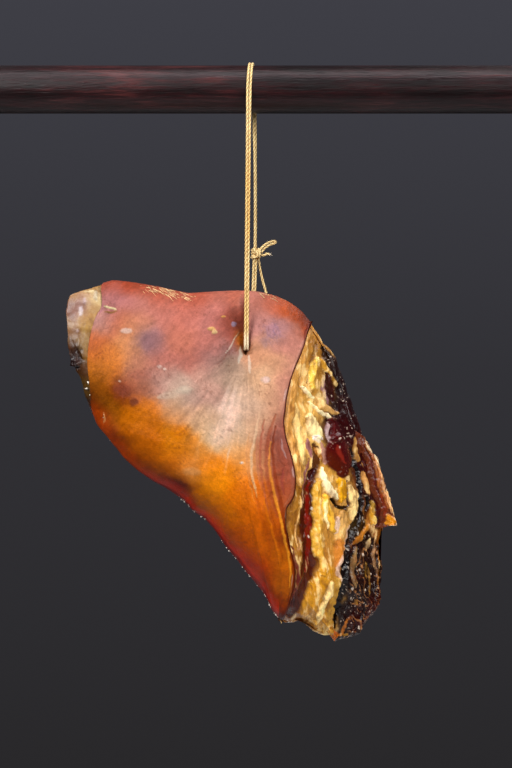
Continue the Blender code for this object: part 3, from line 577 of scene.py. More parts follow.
outlineCurve = curveThrough(ham["bodyOutline"], 10, closed=True)
centreX, centreZ = ham["centre"]
outlineTurn = np.arctan2(outlineCurve[:, 1] - centreZ, outlineCurve[:, 0] - centreX)
outlineReach = np.hypot(outlineCurve[:, 0] - centreX, outlineCurve[:, 1] - centreZ)
turnOrder = np.argsort(outlineTurn)
outlineTurn, outlineReach = outlineTurn[turnOrder], outlineReach[turnOrder]
skinCurve = curveThrough(ham["skinEdge"], 4)


def reachAt(turn):
    return np.interp(turn, outlineTurn, outlineReach, period=2 * np.pi)


def levelAt(x, z):
    return np.minimum(np.hypot(x - centreX, z - centreZ) / reachAt(np.arctan2(z - centreZ, x - centreX)), 1)


def halfThickness(x, z):
    along = ((x + 165) * 0.62 - (z - 30) * 0.78) / 390
    rise, fall = smooth(0, 0.62, along), smooth(0.62, 1.07, along)
    thick = ham["hockHalf"] + (ham["halfThickness"] - ham["hockHalf"]) * rise
    return thick - (ham["halfThickness"] - ham["buttHalf"]) * fall


def middleY(x):
    return ham["shiftY"] + ham["buttSetBack"] * smooth(0, 130, x)


def bodyY(x, z, level, side):
    return middleY(x) + side * halfThickness(x, z) * np.sqrt(np.maximum(0, 1 - level ** ham["roundness"]))


def placed(x, y, z):
    return np.stack([holeX + x / 1000, y / 1000, holeZ + z / 1000], axis=-1)


def surfacePoint(x, z, side, lift=0.0):
    x, z = np.array(float(x)), np.array(float(z))
    return placed(x, bodyY(x, z, levelAt(x, z), side) + side * lift, z)


frontMouth = surfacePoint(0, 0, -1)
backMouth = surfacePoint((twine["holeBackX"] - holeX) * 1000, 0, 1)


def overRail(angle, offset):
    radius = railRadius + twine["gap"] + twine["diameter"] / 2
    x = twine["frontX"] + (twine["backX"] - twine["frontX"]) * angle / math.pi + offset
    return np.array([x, -radius * math.cos(angle), railAxis + radius * math.sin(angle)])


def strandPaths(offset):
    shift = np.array([offset, 0, 0])

    def leaned(share, turn, size=0.92):  # the pair turns about its own middle as it goes down
        lean = turn * math.sin(math.pi * min(share, 0.5)) if share < 0.5 else turn
        return np.array(
            [offset * size * math.cos(lean) - offset, offset * size * math.sin(lean), 0]
        ) * smooth(0, 0.12, share)

    frontTop, backTop = overRail(0, offset), overRail(math.pi, offset)
    frontLip = frontMouth + shift + (0, -twine["lipDepth"], twine["lipHeight"])
    backLip = backMouth + shift + (0, twine["lipDepth"], twine["lipHeight"])
    inside = [
        frontMouth + shift * 0.86 + (0, 0.0014, 0.0002), frontMouth + shift * 0.86 + (0, 0.006, -0.0006),
        frontMouth + shift + (0, 0.018, -0.0008)
    ]
    share = (knotCentre[2] - backTop[2]) / (backLip[2] - backTop[2])
    knotSide = np.array(
        [knotCentre[0] + offset, backTop[1] + (backLip[1] - backTop[1]) * share, knotCentre[2]]
    )
    bow = np.array([0.0007, 0, 0])
    up = [
        knotSide + (backTop - knotSide) * t + bow * math.sin(math.pi * t) + leaned(1 - t, 1.25, 0.86)
        for t in np.linspace(0, 1, 40)
    ]
    over = [overRail(a, offset) for a in np.linspace(math.pi, 0, 60)][1:]
    down = [frontTop + (frontLip - frontTop) * t + leaned(t, 0.45, 0.9) for t in np.linspace(0, 1, 60)][1:]
    whole = np.array(up + over + down + inside)
    lower = [
        backMouth + shift + (0, -0.02, -0.001), backMouth + shift + (0, -0.006, -0.0008),
        backMouth + shift + (0, -0.0014, 0.0002), backLip
    ]
    lower += [backLip + (knotSide - backLip) * t + leaned(t, 0.5) for t in np.linspace(0, 1, 30)][1:]
    return whole, np.array(lower)


def rounded(path, step, passes=10):
    count = int(np.linalg.norm(np.diff(path, axis=0), axis=1).sum() / step)
    path = evenly(path, count)
    for _ in range(passes):
        path[1:-1] = (path[:-2] + 2 * path[1:-1] + path[2:]) / 4
    return path


def makeTwine():
    radius = twine["diameter"] / 2 * 0.92
    for letter, offset, phase in (("a", -twine["pitch"] / 2, 0.3), ("b", twine["pitch"] / 2, 1.4)):
        whole, lower = strandPaths(offset)
        path = rounded(whole, twine["ringStep"])
        points, lobe = tube(path, radius, twine["sides"], twine["twistLength"], phase)
        backTop = int(np.argmax((path[:, 1] > 0) & (path[:, 2] >= railAxis)))
        frontTop = len(path) - int(np.argmax((path[::-1, 1] < 0) & (path[::-1, 2] >= railAxis))) - 1
        spans = {"Back": (0, backTop), "OverRail": (backTop, frontTop), "Front": (frontTop, len(path) - 1)}
        for label, (first, last) in spans.items():
            part = tubePart(
                points[first : last + 1], lobe[first : last + 1], twine["colours"],
                (label == "Back", label == "Front"), 11
            )
            height = (part["points"][:, 2] - holeZ) * 1000
            if label == "Front":
                stain = 0.55 + 0.45 * clouds(height / 40, offset * 500 + 0 * height, 15)
                old = (smooth(235, 130, height) * stain)[:, None]
                part["tint"] = part["tint"] * (1 - old + old * np.array(twine["aged"]))
                pale = (1 - smooth(6, 22, height))[:, None] * 0.6
                part["tint"] = part["tint"] * (1 - pale) + paint(twine["pale"]) * pale
            name = f"twine{label}{letter.upper()}"
            piece = makePiece(name, part, materials["twine"], None)
            if label == "OverRail":
                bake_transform(piece)
                shoulders = (f"twine_front_shoulder_{letter}", f"twine_back_shoulder_{letter}")
                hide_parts(f"twine_saddle_{letter}", *shoulders)
            else:
                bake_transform(piece)
                strand = "twine_run" if label == "Front" else "twine_back_strand"
                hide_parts(f"{strand}_{letter}")
        path = rounded(lower, twine["ringStep"], 6)
        points, lobe = tube(path, radius, twine["sides"], twine["twistLength"], phase + 2)
        part = tubePart(points, lobe, twine["colours"], (True, True), 12)
        makePiece(f"twineLower{letter.upper()}", part, materials["twine"], "loop")


knot = {
    "upperTail": [
        (0.0020, -0.002, 0.0012), (0.0048, -0.001, 0.0040), (0.0088, 0.0000, 0.0082),
        (0.0140, 0.0008, 0.0112), (0.0182, 0.0010, 0.0122), (0.0196, 0.0012, 0.0114),
        (0.0186, 0.0014, 0.0100), (0.0142, 0.0012, 0.0086), (0.0096, 0.0006, 0.0056),
        (0.0060, 0.0002, 0.0012)
    ],
    "shortTail": [
        (0.0030, 0.001, -0.001), (0.0070, 0.001, -0.0014), (0.0092, 0.0015, -0.0012), (0.0114, 0.001, 0),
        (0.0138, 0, -0.0006)
    ],
    "longTail": [
        (0.0020, 0.0020, -0.0016), (0.0034, 0.0044, -0.0066), (0.0048, 0.0062, -0.0150),
        (0.0074, 0.0076, -0.0260), (0.0100, 0.0084, -0.0350), (0.0118, 0.0090, -0.0430)
    ],
}


def makeKnot():
    radius = twine["diameter"] / 2
    core = knotCentre + np.array([(0.0004, 0, -0.0042), (0, 0.0003, 0), (-0.0002, 0, 0.0042)])
    points, lobe = tube(
        rounded(curveThrough(core, 12), twine["ringStep"], 2), 0.0031, twine["sides"], twine["twistLength"],
        0.4
    )
    parts = [tubePart(points, lobe, twine["colours"], (True, True), 16)]
    angle = np.linspace(0, 2 * np.pi * 2.6, 160)
    rise = np.linspace(-0.0034, 0.0034, 160)
    coil = np.stack([0.0030 * np.cos(angle), 0.0026 * np.sin(angle), rise + 0.0007 * np.sin(angle)], axis=1)
    cross = curveThrough(
        [
            (-0.0026, 0.0012, 0.0036), (-0.0012, -0.0034, 0.0042), (0.0014, -0.0046, 0.0010),
            (0.0034, -0.0036, -0.0022), (0.0036, 0.0, -0.0042), (0.0012, 0.0036, -0.0036)
        ],
        14
    )
    bight = curveThrough(
        [
            (0.0006, 0.0030, 0.0044), (0.0038, 0.0008, 0.0040), (0.0044, -0.0024, 0.0006),
            (0.0018, -0.0042, -0.0026), (-0.0016, -0.0034, -0.0040), (-0.0034, 0.0004, -0.0036)
        ],
        14
    )
    for path, phase in ((coil, 0.0), (cross, 0.8), (bight, 1.7)):
        path = rounded(path + knotCentre, twine["ringStep"], 2)
        points, lobe = tube(path, radius * 0.98, twine["sides"], twine["twistLength"], phase)
        parts.append(tubePart(points, lobe, twine["colours"], (True, True), 13))
    makePiece("twineKnot", joined(parts), materials["twine"], "loop", ("twine_knot",))


def frayedEnd(path, radius, count, spread, seed):
    source = np.random.default_rng(seed)
    end, ahead = path[-1], path[-1] - path[-4]
    ahead = ahead / np.linalg.norm(ahead)
    parts = []
    for k in range(count):
        lean = source.normal(size=3) * spread
        length = source.uniform(0.0012, 0.0032)
        start = end - ahead * 0.0008 + source.normal(size=3) * radius * 0.45
        bend = source.normal(size=3) * 0.25
        line = np.array([start + (ahead + lean + bend * t) * length * t for t in np.linspace(0, 1, 6)])
        points, lobe = tube(line, 0.00022, 5, taper=np.linspace(1, 0.3, 6))
        parts.append(tubePart(points, lobe, (*twine["colours"][1:], twine["pale"]), (True, True), seed + k))
    return parts


def makeTails():
    radius = twine["diameter"] / 2
    rows = (
        ("twineUpperTail", "upperTail", "twine_upper_tail", 0.2),
        ("twineShortTail", "shortTail", "twine_short_tail", 1.1),
        ("twineLongTail", "longTail", "twine_long_tail", 2.3)
    )
    for name, key, node, phase in rows:
        path = rounded(curveThrough(knot[key], 12) + knotCentre, twine["ringStep"], 3)
        points, lobe = tube(
            path, radius * (0.86 if key == "upperTail" else 0.96), twine["sides"], twine["twistLength"],
            phase
        )
        parts = [tubePart(points, lobe, twine["colours"], (True, True), 14)]
        if key == "shortTail":
            parts += frayedEnd(path, radius, 10, 0.30, 31)
        piece = makePiece(name, joined(parts), materials["twine"], "loop", (node,))


makeTwine()
makeKnot()
makeTails()
print("twine made")


# rind

rind = {
    "rows": 800,
    "columns": 300,
    "backColumns": 110,
    "backEdge": [
        (60, 22), (40, 30), (16, 38), (-12, 41), (-36, 36), (-52, 20), (-60, -6), (-57, -36), (-62, -62),
        (-54, -88), (-44, -112), (-38, -132), (-22, -154), (-6, -178), (8, -202), (20, -222), (28, -238),
        (34, -252),
    ],
    "lowEdge": [
        (-147, -50), (-140, -69), (-131, -80), (-122, -91), (-111, -104), (-89, -121), (-74, -130),
        (-60, -140), (-50, -150), (-40, -157), (-30, -168), (-20, -183), (-10, -195), (0, -208),
        (10, -220), (18, -231), (25, -245), (33, -254.5),
    ],
    "skirt": [  # rings of the turned-in edge: outwards, inwards and colour; the two inner rings darken as painted shade where the edge tucks under
        (0.30, 0.4, "#4a1a10"),
        (0.5, 1.2, "#6a3018"),
        (0.4, 2.6, "#7a4820"),
        (-0.4, 4.2, "#5c3010"),
        (-2.5, 5.4, "#2c1208"),
    ],
    "skinTable": [
        (((-130, 60), (-116, 62)), "#93452c"),
        (((-105, 58), (-90, 55), (-75, 53)), "#97482f"),
        (((-60, 50), (-45, 50)), "#a4523a"),
        (((-30, 50), (-14, 52)), "#ae6049"),
        (((-126, 46), (-112, 44), (-128, 38)), "#a55f57"),
        (((-98, 45), (-100, 30)), "#ae6655"),
        (((-80, 42), (-75, 22)), "#ae6453"),
        (((-60, 38), (-58, 22), (-45, 35)), "#b06250"),
        (((-38, 38), (-25, 42), (-40, 20)), "#b3685a"),
        (((-140, 34), (-138, 22)), "#ad7061"),
        (((-120, 28), (-128, 20)), "#a95f44"),
        (((-112, 18), (-100, 18)), "#b4704f"),
        (((-134, 6), (-140, 8)), "#b26436"),
        (((-118, 4), (-108, -2)), "#c07d50"),
        (((-130, -8), (-120, -14)), "#b8722f"),
        (((-91, 7), (-86, 4)), "#8a5654"),
        (((-72, 8), (-60, 8), (-50, 2)), "#b0654f"),
        (((-34, 8), (-38, -5)), "#aa6050"),
        (((-14, 30), (-10, 22)), "#82402f"),
        (((-18, 14), (-22, 22)), "#8f4a3c"),
        (((-22, -2), (-28, -8)), "#8c564c"),
        (((-100, -12), (-92, -14)), "#a4654b"),
        (((-80, -10), (-66, -12), (-50, -14)), "#a05a4a"),
        (((-132, -24), (-140, -20)), "#a4651f"),
        (((-115, -38),), "#7a3214"),
        (((-128, -42), (-136, -36)), "#965a12"),
        (((-141, -44), (-141, -56)), "#6e340c"),
        (((-104, -30), (-96, -28)), "#94543a"),
        (((-84, -30), (-70, -26)), "#a66a58"),
        (((-66, -38), (-55, -38), (-58, -46)), "#bd8d72"),
        (((-74, -42), (-46, -46)), "#a66e5c"),
        (((-38, -26), (-34, -38)), "#bd8068"),
        (((-122, -58), (-126, -50)), "#9c600a"),
        (((-102, -62), (-110, -62)), "#b66c05"),
        (((-86, -54), (-92, -66)), "#b9701a"),
        (((-70, -54), (-60, -60)), "#c28356"),
        (((-44, -58), (-36, -64)), "#cb8f6a"),
        (((-130, -70), (-126, -66)), "#8d4a2a"),
        (((-110, -76), (-100, -84)), "#a55c08"),
        (((-88, -80), (-80, -88)), "#b26606"),
        (((-70, -78), (-62, -86)), "#c07a0a"),
        (((-140, -62), (-136, -70), (-128, -80)), "#5c170a"),
        (((-118, -90), (-108, -100)), "#6c210b"),
        (((8, 44), (14, 36)), "#b46c5a"),
        (((20, 44), (26, 38)), "#a7583f"),
        (((34, 40), (44, 34)), "#a65220"),
        (((52, 30), (50, 22)), "#93420f"),
        (((58, 26), (62, 20)), "#4c1106"),
        (((10, 18), (12, 26)), "#b56f60"),
        (((24, 14), (30, 22)), "#a1665f"),
        (((40, 14), (36, 4), (44, 2)), "#b8705c"),
        (((10, -2), (18, 0)), "#bd7d5a"),
        (((22, -12), (32, -14)), "#c2845f"),
        (((40, -14), (34, -30)), "#b9745c"),
        (((38, -40), (36, -54)), "#9f5c4e"),
        (((10, -26), (14, -38)), "#cc9169"),
        (((24, -44), (24, -56)), "#c48662"),
        # painted highlight on the fan below the hole
        (((0, -44), (8, -54)), "#d69b78"),
        (((-8, -24), (-12, -36)), "#bf8c6c"),
        (((-18, -14), (-22, -24)), "#9c6e58"),
        # painted highlight streaks on the fan below the hole
        (((-16, -52), (-20, -66), (-24, -78)), "#dcaa8c"),
        (((33, -70), (34, -80)), "#84483f"),
        (((28, -64), (26, -76)), "#a65f48"),
        (((14, -66), (8, -74)), "#c88a66"),
        (((0, -74), (-6, -86)), "#d69c72"),
        (((-34, -74), (-30, -86)), "#d39a68"),
        (((-12, -96), (0, -96)), "#d6934f"),
        (((-44, -88), (-40, -98)), "#c98534"),
        (((-60, -92), (-66, -100)), "#ba7210"),
        (((-52, -102), (-30, -106)), "#cc7d10"),
        (((14, -88), (14, -104)), "#b06c54"),
        (((6, -96), (4, -110)), "#cb8750"),
        (((28, -92), (28, -106)), "#9c5036"),
        (((34, -96), (36, -108)), "#8c4736"),
        (((30, -122), (28, -134)), "#a25233"),
        (((35, -126), (34, -138)), "#8e4538"),
        (((-52, -110), (-46, -113)), "#c88244"),
        (((-64, -116), (-72, -110)), "#a85d0c"),
        (((-82, -106), (-92, -100)), "#a05a0a"),
        (((-24, -116), (-12, -112), (-34, -122)), "#d0820c"),
        (((2, -118), (6, -128)), "#c67118"),
        (((-8, -130), (-16, -134)), "#c26c08"),
        (((-34, -138), (-42, -132)), "#b9700b"),
        (((-2, -146), (2, -158)), "#ab5a05"),
        (((-20, -150), (-28, -152)), "#b06608"),
        (((14, -128), (18, -140)), "#b25e22"),
        (((12, -156), (16, -170)), "#a95606"),
        (((24, -156), (26, -172)), "#9c4e08"),
        (((0, -172), (-10, -170), (8, -182)), "#a95706"),
        (((24, -192), (28, -206)), "#9a4c04"),
        (((34, -186), (36, -200)), "#b66b0b"),
        (((36, -214), (30, -220)), "#a8600a"),
        (((22, -214), (18, -204)), "#964606"),
        (((2, -194), (-4, -190), (6, -202)), "#9a3206"),
        (((-12, -187), (10, -208)), "#a02c06"),
        (((14, -218), (20, -228)), "#7c1a05"),
        (((30, -232), (26, -238)), "#84340a"),
        (((38, -246), (34, -250), (42, -254)), "#3c0607"),
        (((-60, -132), (-66, -128)), "#450404"),
        (((-50, -140), (-44, -144)), "#6c1a0a"),
        (((-78, -122), (-72, -126)), "#480505"),
        (((-92, -114), (-100, -108)), "#6a1c08"),
        (((-34, -158), (-26, -166)), "#8e350a"),
        (((-20, -176), (-16, -180)), "#86320a"),
        (((41, -196), (43, -210), (40, -230)), "#8a420e"),
        (((40, -182), (38, -168)), "#7a3420"),
    ],
    "reach": 7.5,
    "lip": "#96503c",
    "edgeDark": "#521608",
    "back": "#8a4416",
    "backDark": "#5a210c",
}

# path, width, rise, colour, how strongly it colours; raised lines are mostly paler and sunken ones darker,
# so besides their own colour they carry painted highlight on crests and painted shade in grooves
rindLines = [
    (
        (
            (27, -60), (22, -74), (19.5, -88), (18.3, -100), (19.3, -114), (22, -128), (25.5, -142),
            (28, -152)
        ),
        5.0, -0.9, "#94482c", 0.5
    ),
    (
        (
            (22.5, -84), (21.0, -96), (21.8, -110), (24.3, -126), (27.3, -138), (30.2, -150), (33, -164),
            (36.6, -179), (39.2, -193), (40.3, -206), (39, -218)
        ),
        3.4, 1.2, "#d08a3c", 0.7
    ),
    (
        (
            (27, -70), (24.6, -84), (24.3, -98), (26, -112), (28.6, -126), (31.5, -140), (34.5, -156),
            (38, -172), (41.5, -188), (43, -200), (42, -216), (38, -232)
        ),
        4.0, -1.3, "#7a300f", 0.6
    ),
    (
        ((33, -66), (34, -80), (36.5, -92), (40, -104), (41.5, -116), (41.5, -128), (39.5, -137)), 5.5, 0.7,
        "#8c5040", 0.3
    ),
    (((29, -78), (28.5, -90), (31, -101), (35, -106), (38.2, -105)), 2.8, -0.4, "#7d3d2c", 0.3),
    # painted highlight: glints on the fold beside the edge
    (((31.5, -82), (33, -91), (36, -99)), 2.2, 0.3, "#b98478", 0.4),
    (((33.5, -108), (32.5, -120), (34, -132)), 3.2, -0.9, "#8b3c36", 0.6),
    # painted highlight: a glint line along the edge
    (((36.6, -141), (35.6, -150), (36.4, -160), (38.2, -170)), 1.8, 0.5, "#b5907c", 0.6),
    (((12, -58), (9, -76), (5.5, -92), (4.6, -106), (7, -122), (10, -134)), 3.4, 0.9, "#dba47a", 0.6),
    (
        ((16.5, -64), (13.6, -82), (12.6, -100), (14.5, -118), (17.5, -134), (20, -146)), 3.4, -1.1,
        "#a2553f", 0.65
    ),
    (((10.5, -80), (9.5, -96), (10.8, -112), (14, -128)), 2.2, -0.6, "#b26850", 0.5),
    (((3, -76), (0.5, -92), (1, -108), (4, -124), (7, -138)), 2.4, -0.6, "#c08050", 0.45),
    (((8, -128), (12, -144), (16.5, -160), (20.5, -176), (23, -190)), 4.4, -0.8, "#9a4a08", 0.5),
    (((16, -136), (20, -152), (24.5, -168), (28.5, -184), (31, -198)), 3.0, 0.8, "#bb6a10", 0.5),
    (((22, -146), (26, -162), (30, -178), (33.4, -194)), 2.6, -0.8, "#8e4206", 0.5),
    (((-2, -120), (1, -138), (3, -154), (7, -170)), 3.0, -0.5, "#a95a06", 0.4),
    (((-6.5, 16), (-11, 7), (-16, -1), (-19, -4)), 1.6, 0.9, "#d8b294", 0.75),
    (((-8, 11), (-13, 2), (-20, -8), (-27, -14)), 2.4, -1.0, "#83493f", 0.6),
    # painted shade in the mouth of the twine's hole
    (((-1.2, 1.5), (-1.0, -3.5)), 4.6, -4.2, "#4c3416", 0.85),
    (((-5, 3), (-5.5, -6), (-7, -13)), 4.0, 0.7, "#c8ab90", 0.6),
    (((2.2, -5), (3, -13), (3.2, -22)), 3.6, 0.7, "#dcb293", 0.6),
    (((-80, -44), (-68, -42), (-57, -37), (-49, -37)), 9.0, 0.3, "#c59f80", 0.35),
    (((58, 24), (54, 12), (49, 0), (44.5, -12), (40.5, -26)), 2.4, 0.7, "#bd7a63", 0.5),
    (((60, 27), (55.5, 18), (52.5, 8)), 2.6, -0.3, "#67200e", 0.7),
    (((46, -16), (41.5, -30), (38, -44), (35.5, -58)), 2.6, -0.2, "#6b2f20", 0.55),
    (((-132, 40), (-124, 38), (-120, 36)), 2.6, 1.4, "#d6bb83", 0.9),
    (((-131, 34.5), (-124, 34), (-119, 35)), 2.0, 0.8, "#7c5a28", 0.9),
    (((-136, 44), (-133, 38), (-136, 33)), 2.6, -0.8, "#9a5a58", 0.7),
    (((-131, -58), (-130, -64), (-131, -68)), 2.4, 0.8, "#c8a06c", 0.85),
]

# middle, radius across and down, rise, colour, strength
rindSpots = [
    ((-102, -48), 5.2, 5.2, 0.5, "#85482c", 0.85),
    ((-102, -48), 3.6, 3.6, -0.5, "#6d3820", 0.7),
    ((-115, -37), 9.5, 8.5, -0.2, "#7c4030", 0.5),
    ((-91, 6), 10, 8, -0.3, "#87544f", 0.55),
    ((-96, -24), 13, 6, -0.1, "#945242", 0.45),
    ((-110, 17), 6, 2.6, 0.2, "#d3a088", 0.7),
    ((24, 17), 7.5, 9.0, 0.2, "#94626a", 0.45),
    ((17, 6), 4.0, 6.0, 0.0, "#9f6a66", 0.35),
    ((-32, 18.5), 5.0, 2.6, 1.6, "#c9985c", 0.9),
    ((-29, 15), 3.0, 2.0, 1.2, "#d2a56c", 0.8),
    ((-21, 29.6), 2.6, 1.1, 0.9, "#c89350", 0.9),
    ((-11.5, 22.5), 2.6, 2.6, 0.9, "#a99ab0", 0.7),
    # painted highlight: a pink-white spot
    ((18, -28), 4.6, 3.6, 0.2, "#e0b2a2", 0.6),
    ((-79.5, -16.5), 2.6, 2.2, 0.5, "#c89680", 0.7),
    ((-74.5, -18.5), 1.3, 1.1, 0.5, "#d8ab92", 0.8),
    ((-116, -29.5), 1.3, 0.9, 0.5, "#d8a888", 0.8),
    ((-4, -103), 2.8, 1.6, 0.3, "#e4ba9c", 0.6),
    ((-56, -38), 7, 5, 0.4, "#c2a083", 0.5),
    ((-50, -112), 9, 4.5, 0.2, "#c98a56", 0.6),
    ((-62, -76), 10, 6, 0.0, "#b76f04", 0.5),
    ((-66, -126), 13, 5.5, 0.0, "#64100a", 0.7),
    ((-2, -198), 12, 7, -0.2, "#8c1c06", 0.6),
]


def rindDetail(x, z):
    wx, wz = x + 4.2 * clouds(x / 21, z / 21, 70, 4), z + 4.2 * clouds(x / 21, z / 21, 71, 4)
    tint = swatches(wx, wz, rind["skinTable"], rind["reach"])
    rise = 1.6 * clouds(x / 52, z / 52, 3) + 0.22 * clouds(x / 17, z / 17, 8) + 0.06 * clouds(
        x / 4.5, z / 4.5, 14
    )
    away = np.hypot(x, z + 1)
    turn = np.arctan2(x - 1, -(z - 8))  # 0 straight down from the hole
    fan = smooth(7, 26, away) * (1 - smooth(78, 128, away)) * smooth(-1.12, -0.72, turn) * (
        1 - smooth(0.12, 0.42, turn)
    )
    pleat = 0.8 * cloud(turn * 21 + 0.7 * clouds(x / 26, z / 26, 22), away / 55, 21) + 0.7 * cloud(
        turn * 52 + 0.6 * clouds(x / 16, z / 16, 24), away / 38, 25
    )
    rise = rise + 0.42 * fan * pleat * (0.4 + 0.6 * smooth(90, 18, away))
    # painted light on the fan of wrinkles below the hole: crests lighter, hollows darker, and a pale pink
    # painted highlight on crests further out
    tint = tint * (1 - 0.10 * fan + 0.13 * fan * np.clip(pleat, -1, 1))[..., None]
    tint = mix(
        tint, "#dcae96",
        0.4 * fan * smooth(0.25, 0.9, pleat) * smooth(30, 45, away) * smooth(-0.52, -0.30, turn) * (
            1 - smooth(-0.12, 0.02, turn)
        )
    )
    # the long folds that run down beside the skin's edge, painted lighter on their crests and darker in
    # their hollows as painted light and shade
    toEdge, _ = nearPath(x, z, skinCurve)
    lines = smooth(-70, -110, z) * smooth(48, 8, toEdge) * (1 - smooth(-215, -240, z))
    fold = cloud(toEdge / 3.4 + 0.8 * clouds(x / 26, z / 60, 31), z / 90, 32)
    rise = rise + 0.42 * lines * fold
    tint = tint * (1 + 0.10 * lines * fold)[..., None]
    wet = 0.55 + 0.35 * smooth(-60, -130, z) + 0.2 * clouds(x / 20, z / 20, 50)
    for path, width, up, code, strength in rindLines:
        across = stroke(x, z, path, width, wobble=0.5)
        inside = np.clip(1 - across**2, 0, 1)
        rise = rise + up * (1 if abs(up) > 2 else 0.5) * inside**1.4
        tint = mix(tint, code, strength * smooth(1.15, 0.35, across))
    for middle, wide, tall, up, code, strength in rindSpots:
        off = np.hypot((x - middle[0]) / wide, (z - middle[1]) / tall) + 0.22 * clouds(x / 4, z / 4, 60)
        rise = rise + up * smooth(1.1, 0.3, off)
        tint = mix(tint, code, strength * smooth(1.15, 0.45, off))
    # crease to the left of the twine, painted darker as shade: the twine's shadow and the shade in the
    # crease
    length = smooth(58, 40, z) * smooth(-3, 8, z)
    wide = 3.2 + 3.0 * np.exp(-(((z - 24) / 12) ** 2))
    creaseAndShade = length * np.exp(-(np.minimum(x + 1.5, 0) / wide) ** 2) * smooth(2.5, -1, x)
    rise = rise - 2.6 * creaseAndShade
    tint = mix(
        tint, "#7a3c2c", 0.55 * np.exp(-(((x + 12 + 0.25 * (z - 24)) / 8) ** 2) - ((z - 22) / 15) ** 2)
    )
    tint = mix(tint, "#54200f", 0.85 * creaseAndShade)
    tint = mix(tint, "#a0610f", 0.8 * np.exp(-(((x + 5.5) / 4.5) ** 2) - ((z - 9) / 8) ** 2))
    tint = mix(tint, "#7d5a44", 0.55 * np.exp(-(((x + 15) / 9) ** 2) - ((z + 13) / 8) ** 2))
    # groove under the twine, and the banks that it pushes up
    pulled = smooth(-4, 5, z) * (1 - smooth(34, 60, z))
    rise = rise - 2.4 * pulled * np.exp(-((x - 0.3) ** 2) / 16) + 1.8 * pulled * (
        np.exp(-((x + 17) ** 2) / 90) + np.exp(-((x - 10) ** 2) / 60)
    )
    rise = rise - 4.5 * np.exp(-((x / 4.6) ** 2) - ((z + 0.5) / 5.2) ** 2)
    # painted shade: darker brown round the hole's mouth
    tint = mix(tint, "#7a4a26", 0.55 * np.exp(-((x / 4.2) ** 2) - ((z - 1) / 5.0) ** 2))
    veins = np.abs(clouds(x / 5.5, z / 5.5, 90))
    tint = mix(
        tint, "#7c5560",
        0.5 * smooth(0.16, 0.03, veins) * np.exp(-(((x - 24) / 10) ** 2) - ((z - 16) / 11) ** 2)
    )
    # rolled lip at the skin's edge
    rise = rise + 0.9 * smooth(7, 2.5, toEdge) - 1.3 * smooth(1.8, 0, toEdge)
    lipZone = smooth(-58, -70, z) * (1 - smooth(-132, -144, z)) * smooth(5.5, 2.0, toEdge)
    tint = mix(tint, rind["lip"], 0.5 * lipZone)
    # painted highlight beads along the lip, in a pale pink
    shine = smooth(
        0.35, 0.75, cloud(toEdge / 1.5, z / 14, 158)
    ) * smooth(4.5, 2.5, toEdge) * smooth(1.0, 2.0, toEdge)
    tint = mix(tint, "#dba08c", 0.5 * shine * smooth(-10, -40, z))
    tint = mix(tint, rind["edgeDark"], 0.85 * smooth(2.4, 0.7, toEdge))
    # the crimson rim along the lower edge
    level = levelAt(x, z)
    tint = mix(
        tint, "#c0550a", 0.65 * smooth(0.80, 0.97, level) * smooth(-40, -60, z) * smooth(-140, -110, z)
    )
    tint = mix(
        tint, "#b8300a",
        0.9 * smooth(
            0.80 + 0.05 * clouds(x / 12, z / 12, 161), 0.97, level
        ) * smooth(-104, -122, z) * (x < 30)
    )
    tint = mix(tint, "#7a0c04", 0.8 * smooth(0.93, 0.99, level) * smooth(-96, -112, z) * (x < 30))
    # fine slanting wrinkles on the hock's side, with painted light and shade: lighter on the crests, darker
    # in the hollows
    leather = smooth(20, -10, x) * smooth(-112, -70, z)
    wrinkle = cloud((x - z) / 2.3 + 1.2 * clouds(x / 9, z / 9, 150), (x + z) / 13, 151) + 0.7 * cloud(
        (x - z) / 1.3 + clouds(x / 6, z / 6, 153), (x + z) / 7, 154
    )
    rise = rise + 0.13 * leather * wrinkle
    tint = tint * (1 + 0.08 * leather * wrinkle)[..., None]
    # fine dapple and dark flecks
    dapple = clouds(x / 2.6, z / 2.6, 80, 3)
    tint = tint * (1 + 0.09 * dapple + 0.07 * clouds(x / 9, z / 9, 84))[..., None]
    amber = smooth(0.30, 0.02, tint[..., 2] / np.maximum(tint[..., 0], 1e-4))[..., None]
    tint = np.clip(tint, 1e-4, 1) ** (1.02 + 0.22 * amber) * (1.0 + 0.13 * amber)
    tint = tint * ((0.86, 0.94, 1.06) * (1 - amber) + amber)
    ruddy = smooth(0.45, 0.24, tint[..., 1:2]) * (1 - amber)
    tint = tint * (1 + np.array((-0.07, 0.09, 0.13)) * ruddy)
    # painted glow: the lower amber rind away from the rim is made brighter and yellower, standing in for
    # light shining through it
    glow = smooth(-100, -150, z)[..., None] * smooth(0.99, 0.90, level)[..., None] * amber
    tint = tint * (1 + np.array((0.18, 0.28, -0.5)) * glow)
    grain = cloud(x / 0.8, z / 0.8, 163) + cloud(x / 1.5, z / 1.5, 164)
    tint = tint * (1 + 0.045 * grain)[..., None]
    flecks = smooth(0.52, 0.72, cloud(x / 1.7, z / 1.7, 95)) * smooth(0.1, 0.6, cloud(x / 19, z / 19, 97))
    tint = mix(tint, "#5d2a16", 0.35 * flecks)
    return rise, tint, np.clip(wet, 0, 1)


def borderEdges(quads):
    edges = np.concatenate([quads[:, [k, (k + 1) % 4]] for k in range(4)])
    key = np.sort(edges, axis=1)
    code = key[:, 0].astype(np.int64) * 10_000_000 + key[:, 1]
    _, first, counts = np.unique(code, return_index=True, return_counts=True)
    return edges[first[counts == 1]]


